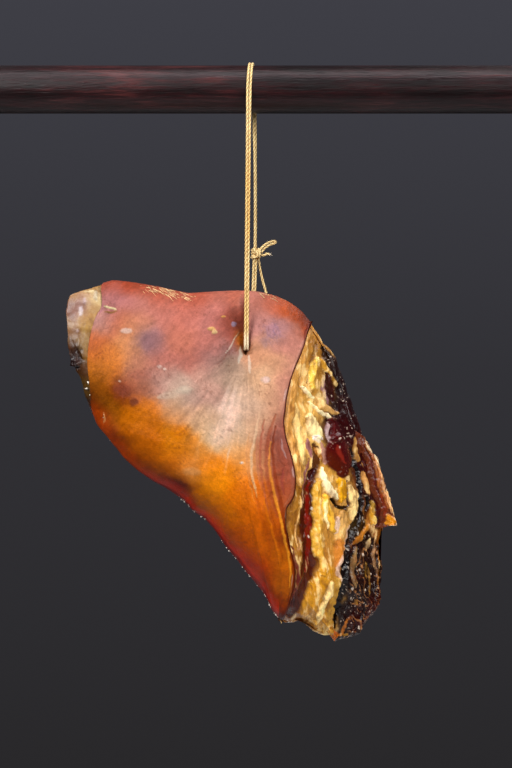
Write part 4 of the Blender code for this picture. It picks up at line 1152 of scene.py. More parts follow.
def skirt(points, tint, wet, edges, outward, inward):
    chosen = np.unique(edges)
    lookup = np.full(len(points), -1)
    lookup[chosen] = np.arange(len(chosen))
    faces, layers, colours, wets = [], [], [], []
    before = chosen
    count = len(points)
    for out, deep, code in rind["skirt"]:
        layer = points[chosen] + outward[chosen] * out / 1000 + inward[chosen] * deep / 1000
        layers.append(layer)
        colours.append(np.tile(paint(code), (len(chosen), 1)))
        wets.append(np.full(len(chosen), 0.6))
        now = count + np.arange(len(chosen))
        a, b = lookup[edges[:, 0]], lookup[edges[:, 1]]
        faces.append(np.stack([before[b], before[a], now[a], now[b]], axis=1))
        before, count = now, count + len(chosen)
    return np.vstack([points, *layers]), np.vstack([tint, *colours]), np.concatenate([wet, *wets]), faces


def rimCurve(rows):
    top = [p for p in ham["bodyOutline"] if p[1] > 20 and -130 < p[0] < 62]
    top = sorted(top, key=lambda p: -p[0])
    hockRun = [p for p in ham["hockEdge"] if -47 < p[1] < 63]
    parts = [curveThrough([(61, 25), *top], 8), curveThrough(hockRun, 8), curveThrough(rind["lowEdge"], 8)]
    sizes = [np.linalg.norm(np.diff(part, axis=0), axis=1).sum() for part in parts]
    counts = [int(round(rows * size / sum(sizes))) for size in sizes]
    counts[2] = rows - counts[0] - counts[1]
    path = np.vstack([evenly(part, count) for part, count in zip(parts, counts)])
    isHock = np.r_[np.zeros(counts[0]), np.ones(counts[1]), np.zeros(counts[2])] > 0
    return path, isHock


def ruledSheet(left, right, columns):
    u = ((1 - np.cos(np.pi * np.linspace(0, 1, columns))) / 2)[None, :]
    return left[:, :1] * (1 - u) + right[:, :1] * u, left[:, 1:] * (1 - u) + right[:, 1:] * u


def edgeward(left, right, columns):
    out = np.zeros((len(left), columns, 3))
    for column, path, sign in ((-1, right, 1), (0, left, -1)):
        step = directions(path)
        out[:, column] = np.stack([-step[:, 1] * sign, 0 * step[:, 0], step[:, 0] * sign], axis=1)
    return out.reshape(-1, 3)


def makeRind():
    rows, columns, backColumns = rind["rows"], rind["columns"], rind["backColumns"]
    left, isHock = rimCurve(rows)
    right = evenly(curveThrough([p for p in ham["skinEdge"] if -256 < p[1] < 25], 6), rows)
    x, z = ruledSheet(left, right, columns)
    level = levelAt(x, z)
    level[~isHock, 0] = 1.0
    flat = placed(x, bodyY(x, z, level, -1), z)
    normal = normalsOf(flat, -1)
    rise, tint, wet = rindDetail(x.ravel(), z.ravel())
    ends = smooth(0, 0.012, np.linspace(0, 1, rows)) * smooth(1, 0.988, np.linspace(0, 1, rows))
    fade = (0.3 + 0.7 * smooth(1.0, 0.97, level)) * ends[:, None]
    front = flat + normal * (rise.reshape(x.shape) * fade / 1000)[..., None]
    backRight = evenly(curveThrough(rind["backEdge"], 8), rows)
    wobble = np.stack(
        [
            clouds(backRight[:, 1] / 13, backRight[:, 0] / 13, 131),
            clouds(backRight[:, 1] / 15, backRight[:, 0] / 15, 135)
        ],
        axis=1
    )
    backRight = backRight + 3.0 * wobble * ends[:, None]
    bx, bz = ruledSheet(left, backRight, backColumns)
    blevel = levelAt(bx, bz)
    blevel[~isHock, 0] = 1.0
    behind = placed(bx, bodyY(bx, bz, blevel, 1), bz)
    backNormal = normalsOf(behind, 1)
    backRise = 1.2 * clouds(bx / 45, bz / 45, 203) + 0.5 * clouds(
        bx / 14, bz / 14, 208
    ) + 0.12 * clouds(bx / 4, bz / 4, 209)
    behind = behind + backNormal * (backRise * smooth(1.0, 0.95, blevel) * ends[:, None] / 1000)[..., None]
    backTint = swatches(bx, bz, rind["skinTable"], 16.0) * 0.5 + paint(rind["back"]) * 0.5
    backTint = mix(backTint, rind["backDark"], 0.6 * smooth(0.0, 0.8, clouds(bx / 22, bz / 22, 210)))
    backTint = backTint * (1 + 0.14 * clouds(bx / 5, bz / 5, 212))[..., None]
    nearRim = tint.reshape(rows, columns, 3)[:, :1]
    rimShare = smooth(0.93, 1.0, blevel)[..., None]
    backTint = backTint * (1 - rimShare) + nearRim * rimShare
    offset = rows * columns
    index = np.arange(offset).reshape(rows, columns)
    backIndex = offset + np.arange(rows * backColumns).reshape(rows, backColumns)
    backIndex[~isHock, 0] = index[~isHock, 0]
    points = np.vstack([front.reshape(-1, 3), behind.reshape(-1, 3)])
    tint = np.vstack([tint, backTint.reshape(-1, 3)])
    wet = np.concatenate([wet, np.full(rows * backColumns, 0.4)])
    inward = np.vstack([-normal.reshape(-1, 3), -backNormal.reshape(-1, 3)])
    outward = np.vstack([edgeward(left, right, columns), edgeward(left, backRight, backColumns)])
    quads = np.vstack([facesOf(index), facesOf(backIndex)[:, [0, 3, 2, 1]]])
    points, tint, wet, more = skirt(points, tint, wet, borderEdges(quads), outward, inward)
    part = {"points": points, "faces": [quads, *more], "tint": tint, "wet": wet}
    makePiece("hamRind", part, materials["rind"], "ham", ("ham_rind",))


# cut face


face = {
    "rows": 620,
    "columns": 176,
    "rolls": 22,
    # colour, width, rise, gloss, path
    "strands": [
        (
            "#c4924a", 10, 2.0, 0.3,
            (
                (60, 18), (54, 0), (47, -20), (42, -40), (39, -60), (39, -80), (43, -95), (47, -110),
                (49, -125)
            )
        ),
        ("#ecd08c", 6, 1.0, 0.4, ((46, -50), (47, -65), (49, -80), (51, -95), (53, -105))),
        ("#7a5214", 4, -2.0, 0.3, ((66, 8), (62, -8), (61, -18), (57, -25), (55, -30))),
        ("#e8c454", 6, 2.5, 0.5, ((66, -8), (62, -18), (60, -26), (61, -36))),
        ("#c8962c", 5, 1.5, 0.4, ((69, -8), (73, -14), (80, -24), (85, -34))),
        ("#240a0a", 15, -0.5, 0.8, ((73, 2), (80, -10), (88, -25), (94, -42), (99, -60), (104, -76))),
        ("#300c0c", 12, 0.4, 0.9, ((90, -44), (94, -56), (97, -68), (99, -82))),
        ("#3a0a0c", 9, -1.0, 0.8, ((75, -22), (78, -34), (81, -47))),
        # painted sheen: a greyish-lilac reflection on the wedge's left
        ("#8f6e7a", 4.5, 0.4, 0.8, ((71, -25), (73, -38), (77, -50))),
        ("#c8a060", 6, 1.0, 0.4, ((62, -44), (70, -50), (80, -58), (87, -60))),
        ("#f6ecc8", 3.0, 2.2, 0.7, ((51, -33), (56, -39), (62, -45))),
        ("#f6ecc8", 3.0, 2.4, 0.7, ((58, -48), (66, -56), (74, -61), (81, -66))),
        ("#f4e6b0", 14, 3.5, 0.5, ((58, -62), (62, -72), (67, -80))),
        ("#e8e0e0", 6, 1.0, 0.8, ((61, -80), (66, -83), (70, -82))),
        # painted shade: a black gap between the muscles
        ("#120404", 5, -3.0, 0.8, ((74, -65), (78, -70), (76, -80))),
        ("#3a0505", 10, -0.5, 0.9, ((88, -62), (93, -80), (97, -95), (100, -108))),
        ("#a88078", 5, 0.8, 0.8, ((69, -86), (71, -96), (73, -106))),
        ("#8a5a6a", 5, 0.4, 0.8, ((56, -82), (58, -92), (60, -100))),
        ("#9a6a1c", 9, 0.8, 0.3, ((48, -125), (46, -140), (43, -155), (42, -170), (43, -185))),
        ("#d8b070", 2.6, 1.0, 0.5, ((50, -135), (48, -150), (46, -165), (47, -180))),
        ("#3e0402", 9, -1.6, 1.0, ((63, -88), (65, -98), (63, -108), (60, -120))),
        (
            "#440502", 17, -2.4, 1.0,
            (
                (62, -112), (59, -126), (57.5, -140), (57, -155), (58, -170), (58, -185), (57, -200),
                (56, -212), (51, -224), (45, -236), (40, -246)
            )
        ),
        ("#74120a", 5, 0.6, 1.0, ((61, -120), (58, -135), (57, -150), (58, -165), (58, -185), (56, -205))),
        ("#7a4a50", 2.2, 0.4, 0.8, ((57, -100), (55, -115), (54, -130), (51, -142))),
        ("#9a6210", 3, 0.6, 0.5, ((64, -90), (68, -98), (70, -104))),
        ("#5a0a02", 3, -0.6, 0.8, ((42, -180), (45, -195), (47, -205), (46, -216), (42, -230))),
        (
            "#d8a83c", 9, 1.6, 0.5,
            ((67, -120), (66, -140), (66, -155), (65, -170), (67, -185), (71, -198), (70, -208))
        ),
        ("#fbf2cc", 7, 3.0, 0.9, ((69, -110), (71, -120), (76, -130), (82, -138))),
        ("#dca40c", 12, 2.6, 0.7, ((84, -122), (88, -126), (88, -133), (86, -139))),
        ("#e8b83c", 10, 3.0, 0.6, ((72, -135), (74, -150), (78, -165), (80, -168))),
        ("#f8eab8", 2.2, 0.8, 0.6, ((71, -140), (71.5, -152), (74, -166))),
        ("#f0d898", 11, 2.5, 0.6, ((97, -128), (99, -140), (100, -150), (99, -158))),
        # painted shade: a black pit
        ("#160606", 4.5, -4.0, 0.8, ((79, -139), (84, -145), (91, -147), (93, -150))),
        ("#3c0604", 3.2, -2.0, 0.8, ((93, -122), (92, -132), (93, -148))),
        ("#e8bc74", 14, 2.2, 0.6, ((88, -152), (88, -165), (86, -175))),
        ("#e0c8b8", 4, 0.8, 0.8, ((84, -155), (82, -170))),
        ("#c88030", 14, 1.0, 0.5, ((85, -178), (88, -190), (84, -200))),
        ("#d8c0b0", 4, 1.2, 0.8, ((97, -165), (93, -178), (89, -192), (84, -205), (88, -215))),
        ("#c8901c", 15, 1.0, 0.4, ((72, -195), (74, -205), (68, -215), (62, -228), (56, -240), (52, -248))),
        ("#f2dc9c", 7, 3.0, 0.5, ((78, -215), (77, -225), (73, -235), (68, -248), (66, -254))),
        ("#b89038", 7, 0.8, 0.4, ((84, -212), (83, -228), (80, -240), (78, -252), (76, -262))),
        ("#d8a848", 7, 1.0, 0.4, ((60, -252), (68, -258), (76, -266), (80, -270))),
        (
            "#240d08", 34, -0.6, 0.7,
            ((112, -176), (114, -195), (113, -215), (110, -235), (103, -252), (96, -266))
        ),
        ("#b08848", 6, 1.2, 0.5, ((103, -80), (104, -92), (106, -104))),
        ("#3a0402", 8, -1.0, 0.9, ((108, -100), (111, -116), (113, -130), (114, -145), (112, -158))),
        ("#c89858", 6, 1.2, 0.4, ((111, -115), (115, -128), (118, -136))),
        # painted shade: the main black crevice
        (
            "#080202", 8, -4.0, 0.9,
            (
                (98, -92), (102, -104), (106, -116), (107, -130), (106, -142), (105, -152), (101, -165),
                (96, -178), (92, -190), (91, -205), (90, -220), (87, -235), (85, -248), (83, -262)
            )
        ),
        ("#160504", 9, -0.6, 0.8, ((108, -152), (107, -168), (100, -186), (97, -205), (96, -222))),
        # painted shade: black in the hollow beside the yellow lobe
        ("#0e0504", 6, -2.0, 0.8, ((112, -136), (116, -143), (114, -150))),
        ("#c8961c", 10, 2.5, 0.5, ((121, -145), (122, -155), (119, -163))),
        ("#d8c070", 5, 1.0, 0.5, ((122, -154), (120, -162))),
        ("#c88428", 5, 2.0, 0.6, ((114, -163), (111, -170), (107, -176), (100, -181))),
        ("#8a7048", 5, 1.6, 0.5, ((103, -185), (101, -195), (99, -210), (101, -222))),
        ("#3a1c0a", 4, 0.8, 0.5, ((107, -183), (109, -200), (106, -215))),
        ("#7a5a10", 2.6, 1.0, 0.5, ((112, -200), (112, -215))),
        ("#d0b080", 3, 1.2, 0.5, ((117, -178), (113, -189))),
        ("#b89068", 3.2, 1.4, 0.5, ((122, -178), (121, -195), (123, -205), (124, -215))),
        ("#a07830", 2.2, 1.0, 0.5, ((116, -205), (117, -222), (116, -232))),
        ("#a86810", 2.8, 0.8, 0.6, ((128, -190), (128, -205), (126, -225))),
        ("#3a0804", 6, 0.4, 0.9, ((127, -225), (126, -238), (118, -250))),
        ("#9a6c14", 3.4, 1.0, 0.6, ((104, -236), (106, -243))),
        ("#a8641c", 2.8, 1.0, 0.6, ((100, -250), (94, -258), (90, -268), (86, -272))),
        ("#3c0a06", 11, 0.6, 0.9, ((108, -240), (104, -250), (98, -262))),
        ("#b86010", 8, 0.6, 0.7, ((82, -266), (84, -272), (86, -274))),
        ("#8a6414", 4, 0.6, 0.6, ((91, -269), (97, -270))),
    ],
    "tongue": ((79, -66), (81, -78), (83, -84), (85, -96), (88, -106), (89, -113)),
    "glints": [
        (98.5, -223), (98.5, -233), (101, -267), (107, -263), (93, -247), (61, -146), (106, -126),
        (103, -150), (96, -186), (58, -172), (84, -92), (82, -84), (118, -212), (112, -226), (90, -214),
        (109, -192), (60, -118), (104, -172),
    ],
    "swatches": [
        (((60, 16), (56, 0), (52, -20)), "#b8863c"),
        (((44, -44), (42, -70), (44, -96)), "#b98842"),
        (((50, -60), (53, -84), (54, -104)), "#d8b264"),
        (((56, -46), (58, -30)), "#c59a4c"),
        (((68, -4), (66, -20), (70, -34)), "#9c6f22"),
        (((78, -20), (84, -40), (90, -56)), "#2a0c08"),
        (((92, -90), (98, -104), (90, -76)), "#3a0a08"),
        (((50, -120), (47, -150), (44, -190)), "#8e5f1a"),
        (((62, -150), (62, -190), (60, -215)), "#8c5a18"),
        (((74, -112), (80, -112)), "#b98c3c"),
        (((78, -150), (84, -172)), "#d2a04c"),
        (((92, -140), (94, -160)), "#cfa052"),
        (((80, -190), (76, -178)), "#bb8434"),
        (((60, -232), (66, -244), (72, -222)), "#c08e30"),
        (((50, -250), (44, -240)), "#96621c"),
        (((104, -140), (112, -120), (118, -140)), "#54200e"),
        (((98, -190), (104, -210), (98, -240)), "#1e0c07"),
        (((118, -190), (120, -225), (110, -250)), "#24100a"),
        (((128, -150), (128, -165)), "#9a5a18"),
        (((40, -210), (38, -236)), "#6e3810"),
    ],
}


def faceDetail(x, z):
    wx, wz = x + 3.0 * clouds(x / 7, z / 9, 301), z + 4.0 * clouds(x / 7, z / 9, 302)
    tint = swatches(wx, wz, face["swatches"], 8.0)
    flow = x + 0.10 * (z + 120) * smooth(-120, -240, z) * 0.6
    streak = cloud(flow / 1.5 + 1.2 * clouds(x / 10, z / 22, 305), z / 13, 306)
    fine = cloud(flow / 0.75 + 0.8 * clouds(x / 6, z / 15, 308), z / 6, 309)
    lump = clouds(x / 3.6, z / 5.2, 313)
    reliefLightAndShade = 0.55 * streak + 0.35 * fine + 0.55 * lump
    rise = 1.8 * clouds(x / 15, z / 24, 311) + 0.34 * streak + 0.14 * fine + 0.36 * lump
    reliefLightAndShade = 0.6 * clouds(x / 5.5, z / 11, 314) + 0.6 * reliefLightAndShade
    wet = 0.5 + 0.2 * clouds(x / 9, z / 9, 316)
    bendX, bendZ = 1.1 * clouds(x / 4.5, z / 6, 318, 4), 1.1 * clouds(x / 4.5, z / 6, 319, 4)
    calm = smooth(1.25, 0.8, stroke(x, z, face["tongue"], 28, 0.3))
    rise, reliefLightAndShade = rise * (1 - 0.85 * calm), reliefLightAndShade * (1 - calm)
    for code, width, up, gloss, path in face["strands"]:
        off = stroke(x + bendX, z + bendZ, path, width, 0.3)
        inside = np.clip(1 - off**2, 0, 1)
        rise = rise + up * inside ** (0.8 if up > 0 else 1.0)
        share = smooth(1.24, 0.68, off)
        tint = tint + (paint(code) - tint) * (share * 0.92)[..., None]
        # painted shade in a ring round the foot of each strongly raised strand
        rim = smooth(1.5, 1.1, off) * smooth(0.8, 1.1, off) * (up > 1.5)
        tint = tint * (1 - 0.22 * rim)[..., None]
        wet = wet + (gloss - wet) * share
    for width, path in ((15, face["tongue"][:3]), (27, face["tongue"][2:])):
        off = stroke(x + 0.4 * bendX, z + 0.4 * bendZ, path, width, 0.28)
        rise = rise + 3.4 * np.clip(1 - off**2, 0, 1) ** 0.7
        share = smooth(1.12, 0.9, off)
        tint = mix(tint, "#4a0605", 0.97 * share)
        wet = wet + (1.0 - wet) * share
    # painted highlight: a lighter red glint inside the tongue
    tint = mix(
        tint, "#8c2a1e",
        0.55 * smooth(1.0, 0.2, stroke(x + bendX, z + bendZ, ((82, -90), (85, -98), (89, -106)), 7))
    )
    # painted sheen: a lilac reflection along the tongue's upper left edge
    tint = mix(
        tint, "#cdb9c4",
        0.6 * smooth(1.0, 0.3, stroke(x + bendX, z + bendZ, ((75, -66), (74.5, -76), (77, -86)), 4))
    )
    # painted light and shade following the relief: crests painted pale cream as highlight, hollows brown as
    # shade
    bright = smooth(0.06, 0.30, tint[..., 0])
    tint = mix(tint, "#f6e2a8", 0.55 * bright * smooth(0.15, 0.75, reliefLightAndShade))
    tint = mix(tint, "#7a4312", 0.50 * bright * smooth(0.20, 0.85, -reliefLightAndShade))
    tint = tint * (1 + 0.14 * reliefLightAndShade)[..., None]
    # dried crust at the lower right
    crust = smooth(-172, -188, z) * smooth(94, 101, x)
    ridge = np.abs(cloud((x + 0.25 * z) / 3.4 + 0.9 * clouds(x / 8, z / 12, 351), z / 13, 352))
    rise = rise + crust * (1.3 * (0.5 - ridge) + 0.3 * lump)
    tint = mix(
        tint, "#a8764a",
        0.85 * crust * smooth(0.15, 0.04, ridge) * smooth(-0.5, 0.2, clouds(x / 7, z / 9, 355))
    )
    tint = mix(tint, "#4a120a", 0.6 * crust * smooth(0.0, 0.5, clouds(x / 9, z / 14, 357)))
    tint = mix(tint, "#2c130b", 0.5 * crust * smooth(0.2, 0.5, ridge))
    # painted highlights: small bright specks in the dark parts, standing in for glints on the wet meat
    gloom = smooth(0.10, 0.02, tint[..., 0])
    specks = smooth(0.70, 0.82, cloud(x / 1.15, z / 1.4, 360)) * smooth(-0.2, 0.3, clouds(x / 8, z / 8, 362))
    tint = mix(tint, "#d9cdc6", 0.75 * specks * gloom * smooth(60, 74, x))
    # painted highlights: a small pale raised spot at each listed glint point
    for gx, gz in face["glints"]:
        off = np.hypot((x - gx) / 1.0, (z - gz) / 1.5) + 0.5 * cloud(x / 1.2, z / 1.2, 365)
        tint = mix(tint, "#e9e2dc", 0.65 * smooth(1.1, 0.5, off))
        rise = rise + 0.4 * smooth(1.2, 0.2, off)
    wet = wet - 0.45 * gloom * (1 - specks) * smooth(70, 80, x) * smooth(-60, -40, z)
    dim = smooth(0.12, 0.03, tint[..., 0])[..., None]
    tint = tint * (1.22, 1.06, 0.88) * (1 - 0.4 * dim)
    return rise, np.clip(tint, 0.002, 1), np.clip(wet, 0, 1)


def makeFace():
    rows, columns, rolls = face["rows"], face["columns"], face["rolls"]
    near = evenly(curveThrough([p for p in ham["skinEdge"] if -256 < p[1] < 26], 6), rows)
    far = evenly(curveThrough(ham["farEdge"], 5), rows)
    v = np.linspace(0, 1, rows)
    ahead = directions(far)
    out = np.stack([-ahead[:, 1], ahead[:, 0]], axis=1)
    for _ in range(30):
        out[1:-1] = (out[:-2] + out[1:-1] + out[2:]) / 3
    out /= np.linalg.norm(out, axis=1, keepdims=True)
    rollSize = 1.5 + 6.0 * np.sin(np.pi * v) ** 0.6
    inner = near - (far - near) / np.maximum(np.linalg.norm(far - near, axis=1, keepdims=True), 1e-6) * 2.0
    flatEnd = far - out * rollSize[:, None]
    u = np.linspace(0, 1, columns)[None, :]
    x = inner[:, :1] * (1 - u) + flatEnd[:, :1] * u
    z = inner[:, 1:] * (1 - u) + flatEnd[:, 1:] * u
    nearY = bodyY(near[:, 0], near[:, 1], levelAt(near[:, 0], near[:, 1]), -1) + 2.6
    farY = np.maximum(np.minimum(middleY(far[:, 0]) + 2.0, 40), nearY)
    y = nearY[:, None] + (farY - nearY)[:, None] * u**1.25
    angle = np.linspace(0, 1, rolls + 1)[1:][None, :] * math.radians(125)
    rollX = flatEnd[:, :1] + out[:, :1] * rollSize[:, None] * np.sin(angle)
    rollZ = flatEnd[:, 1:] + out[:, 1:] * rollSize[:, None] * np.sin(angle)
    rollY = farY[:, None] + 1.8 * rollSize[:, None] * (1 - np.cos(angle))
    tuckX = rollX[:, -1:] - out[:, :1] * np.array([[5.0, 12.0]])
    tuckZ = rollZ[:, -1:] - out[:, 1:] * np.array([[5.0, 12.0]])
    tuckY = rollY[:, -1:] + np.array([[6.0, 9.0]])
    x, y, z = np.hstack([x, rollX, tuckX]), np.hstack([y, rollY, tuckY]), np.hstack([z, rollZ, tuckZ])
    grid = placed(x, y, z)
    normal = normalsOf(grid, -1)
    width = np.linalg.norm(far - inner, axis=1)[:, None]
    rise, tint, wet = faceDetail(x.ravel() + (y - farY[:, None]).ravel().clip(0, 60) * 0.6, z.ravel())
    across = np.hstack([np.tile(u, (rows, 1)), np.ones((rows, rolls + 2))]) * width
    ends = (smooth(0, 0.03, v) * smooth(1, 0.985, v))[:, None] * smooth(0, 5, across)
    ends[:, -1] = 0
    grid = grid + normal * (rise.reshape(x.shape) * (0.15 + 0.85 * ends) / 1000)[..., None]
    part = {"points": grid.reshape(-1, 3), "faces": [gridFaces(*x.shape)], "tint": tint, "wet": wet}
    makePiece("hamCutFace", part, materials["face"], "ham", ("ham_fat_layer", "ham_core_muscle"))


# dried flap at the butt's side

flap = {
    "rows": 170,
    "columns": 60,
    "root": [
        (100, -74), (103, -90), (105, -104), (107, -118), (108, -132), (110, -146), (113, -158),
        (118, -168),
    ],
    "edge": [
        (111, -82), (116, -91), (120.5, -98.5), (125, -104.5), (127.5, -115), (131.5, -127),
        (135.5, -140), (138.5, -151), (140.5, -160), (141.5, -165.5), (134, -165.8), (128, -168),
    ],
    "strands": [
        ("#8a4a1c", 5, 0.5, ((112, -84), (117, -95), (121, -105), (124, -118), (128, -132), (133, -148))),
        (
            "#3a0402", 5.5, -0.8,
            ((108, -98), (112, -110), (113, -124), (116, -136), (121, -146), (125, -155), (123, -166))
        ),
        ("#d09660", 2.8, 0.8, ((121, -101), (125, -112), (129, -125), (133, -139), (137, -153))),
        ("#c89048", 4.0, 0.8, ((106, -100), (108, -112), (110, -120))),
        ("#c49238", 5.0, 1.0, ((118, -143), (119.5, -152), (118, -160))),
        ("#4a1008", 3.0, -0.5, ((112, -90), (117, -101), (121, -118), (124, -132), (127, -144))),
        ("#6e2208", 4.0, -0.3, ((127, -136), (130, -150), (132, -160))),
        ("#e3c79a", 2.4, 0.7, ((113, -86), (118, -95), (124.8, -105.5), (126.6, -111))),
        ("#c87c0c", 8, 0.6, ((133, -156), (138, -162), (132, -164))),
        ("#e0b070", 1.6, 0.5, ((133, -132), (136.4, -144), (139.4, -156))),
    ],
}


def makeFlap():
    rows, columns = flap["rows"], flap["columns"]
    root = evenly(curveThrough(flap["root"], 6), rows)
    edge = evenly(curveThrough(flap["edge"], 6), rows)
    edge = edge + 0.7 * np.stack(
        [
            cloud(np.arange(rows) / 5.0, 0 * edge[:, 0], 401),
            cloud(np.arange(rows) / 6.0, 0 * edge[:, 0], 403)
        ],
        axis=1
    )
    u, v = np.linspace(0, 1, columns)[None, :], np.linspace(0, 1, rows)[:, None]
    x, z = root[:, :1] * (1 - u) + edge[:, :1] * u, root[:, 1:] * (1 - u) + edge[:, 1:] * u
    rootY = middleY(root[:, :1]) + 1.5
    y = rootY * (1 - u) + (
        middleY(edge[:, :1]) - 3.0
    ) * u - 4.5 * np.sin(np.pi * u) * np.sin(np.pi * v) - 3.0 * u**3 * v
    wx, wz = x + clouds(x / 6, z / 6, 405), z + clouds(x / 6, z / 6, 406)
    tint = paint("#5c2610") + 0 * x[..., None]
    rise = 0.7 * clouds(x / 6, z / 9, 407) + 0.2 * clouds(x / 1.8, z / 3, 408)
    for code, width, up, path in flap["strands"]:
        off = stroke(wx, wz, path, width, 0.3)
        rise = rise + up * np.clip(1 - off**2, 0, 1)
        tint = mix(tint, code, 0.9 * smooth(1.2, 0.5, off))
    tint = tint * (1 + 0.3 * clouds(x / 1.8, z / 3.6, 409))[..., None]
    # painted shade along the root, where the flap meets the face
    tint = mix(tint, "#3a1006", 0.6 * smooth(0.10, 0.0, u + 0 * x))
    tint = mix(
        tint, "#f0d6a8", 0.6 * smooth(0.95, 1.0, u + 0 * x) * smooth(-0.3, 0.3, clouds(x / 3, z / 3, 411))
    )
    grid = placed(x, y, z)
    normal = normalsOf(grid, -1)
    thick = 0.9 + 1.8 * (1 - u) + 0 * x
    fade = smooth(0, 0.05, v) * smooth(1, 0.95, v) * smooth(1, 0.96, u)
    front = grid + normal * (rise * fade / 1000)[..., None]
    behind = grid - normal * (thick * (0.25 + 0.75 * fade) / 1000)[..., None]
    count = rows * columns
    index = np.arange(count).reshape(rows, columns)
    border = np.concatenate([index[0, :-1], index[:-1, -1], index[-1, :0:-1], index[:0:-1, 0]])
    ahead = np.roll(border, -1)
    wall = np.stack([border, ahead, ahead + count, border + count], axis=1)
    quads = gridFaces(rows, columns)
    points = np.vstack([front.reshape(-1, 3), behind.reshape(-1, 3)])
    # the underside is a darker copy of the top's colours: painted shade
    tint = np.clip(np.vstack([tint.reshape(-1, 3), (tint * 0.7).reshape(-1, 3)]), 0.002, 1)
    part = {"points": points, "faces": [quads, quads[:, ::-1] + count, wall], "tint": tint}
    part["wet"] = np.full(2 * count, 0.7)
    makePiece("hamCrustFlap", part, materials["face"], "ham", ("ham_crust_flap",))


# the ham's back, where the rind ends


back = {
    "rows": 260,
    "shrink": 4.6,
    "leftEdge": -66.0,
    "swatches": [
        (((-50, 40), (-40, 20), (-46, -20)), "#c89a58"),
        (((-20, 40), (20, 36), (50, 20)), "#b98643"),
        (((0, 0), (20, -20), (-20, -10)), "#6a1a10"),
        (((40, -30), (60, -60), (50, -90)), "#5a130c"),
        (((-30, -60), (-40, -90)), "#c09048"),
        (((0, -80), (10, -110), (30, -130)), "#74241a"),
        (((-10, -130), (-20, -160)), "#b27d3c"),
        (((80, -60), (90, -100), (100, -130)), "#4a0f0a"),
        (((60, -150), (80, -170), (60, -190)), "#6d1f14"),
        (((110, -170), (116, -200), (100, -230)), "#2a0c08"),
        (((20, -190), (36, -210), (50, -230)), "#b88236"),
        (((70, -230), (84, -250)), "#9a6524"),
        (((100, -80), (110, -110)), "#a8763a"),
        (((0, -180), (10, -200)), "#c79a54"),
    ],
    "strands": [
        ("#d9b878", 5, 1.4, ((-44, 44), (-20, 30), (10, 26), (36, 14), (56, 0))),
        ("#e0c48c", 4, 1.4, ((-44, 0), (-20, -14), (4, -30), (30, -40), (56, -44), (84, -50))),
        ("#d8b06a", 5, 1.2, ((-46, -60), (-20, -66), (10, -74), (40, -96), (66, -110), (96, -120))),
        ("#120504", 4, -2.2, ((-30, -76), (-4, -92), (20, -120), (36, -150), (60, -170), (90, -184))),
        ("#cfa563", 6, 1.4, ((-30, -120), (-10, -132), (10, -150), (24, -180), (44, -206), (70, -222))),
        ("#e6cf9c", 3, 1.0, ((0, -100), (16, -106), (30, -118), (44, -140))),
        ("#2a0906", 5, -1.6, ((30, 6), (44, -16), (66, -34), (88, -72))),
        ("#b98640", 5, 1.0, ((60, -128), (80, -140), (104, -150), (124, -160))),
        ("#1c0806", 5, -1.8, ((50, -200), (76, -206), (100, -214), (120, -210))),
        ("#d9bd86", 3, 1.0, ((56, -178), (76, -190), (100, -196))),
    ],
}


def discGrid(count):
    line = np.linspace(-1, 1, count)
    u, v = np.meshgrid(line, line, indexing="ij")
    a, b = u * np.sqrt(1 - v * v / 2), v * np.sqrt(1 - u * u / 2)
    level = np.sin(np.pi / 2 * np.clip(np.hypot(a, b), 0, 1))
    return level, np.arctan2(b, a)


def discXZ(count, shrink):
    level, turn = discGrid(count)
    out = level * (reachAt(turn) - shrink)
    return centreX + out * np.cos(turn), centreZ + out * np.sin(turn), level


def backSheet():
    count = back["rows"]
    x, z, level = discXZ(count, back["shrink"])
    inside = x > back["leftEdge"] - 0.2
    keep = inside[:-1, :-1] & inside[1:, :-1] & inside[1:, 1:] & inside[:-1, 1:]
    touching = np.zeros(x.shape, int)
    for i, j in ((0, 0), (1, 0), (1, 1), (0, 1)):
        touching[i : i + count - 1, j : j + count - 1] += keep
    edge = (touching > 0) & (touching < 4)
    edge[[0, -1]] = False
    edge[:, [0, -1]] = False
    x = np.where(edge, back["leftEdge"], x)
    return x, bodyY(x, z, np.where(edge, levelAt(x, z), level), 1), z, level, keep


def makeBack():
    x, y, z, level, keep = backSheet()
    y = y - 3.0 + 8.0 * smooth(40, 90, x) * smooth(0.90, 1.0, level)
    grid = placed(x, y, z)
    normal = normalsOf(grid, 1)
    wx, wz = x + 9 * clouds(x / 26, z / 26, 501), z + 9 * clouds(x / 26, z / 26, 502)
    tint = swatches(wx, wz, back["swatches"], 13.0)
    slant = x * 0.5 + z * 0.86
    streak = cloud(slant / 2.0 + 1.5 * clouds(x / 14, z / 14, 505), (x - z * 0.5) / 18, 506)
    rise = 2.0 * clouds(x / 26, z / 26, 511) + 0.5 * streak + 0.4 * clouds(x / 5, z / 5, 512)
    wet = 0.5 + 0.25 * clouds(x / 16, z / 16, 514)
    for k, (code, width, up, path) in enumerate(back["strands"]):
        off = stroke(x, z, path, width, 0.3, 1.6, 520 + k)
        rise = rise + up * np.clip(1 - off**2, 0, 1)
        tint = mix(tint, code, 0.85 * smooth(1.2, 0.5, off))
    tint = np.clip(tint * (1 + 0.2 * streak + 0.12 * clouds(x / 3, z / 3, 530))[..., None], 0.002, 1)
    grid = grid + normal * (rise * smooth(1.0, 0.95, level) / 1000)[..., None]
    quads = gridFaces(*x.shape)[keep.ravel()][:, [0, 3, 2, 1]]
    part = {"points": grid.reshape(-1, 3), "faces": [quads], "tint": tint.reshape(-1, 3)}
    part["wet"] = np.clip(wet, 0, 1).ravel()
    makePiece("hamBack", part, materials["face"], "ham", ("ham_inside_muscle",))


# hock end


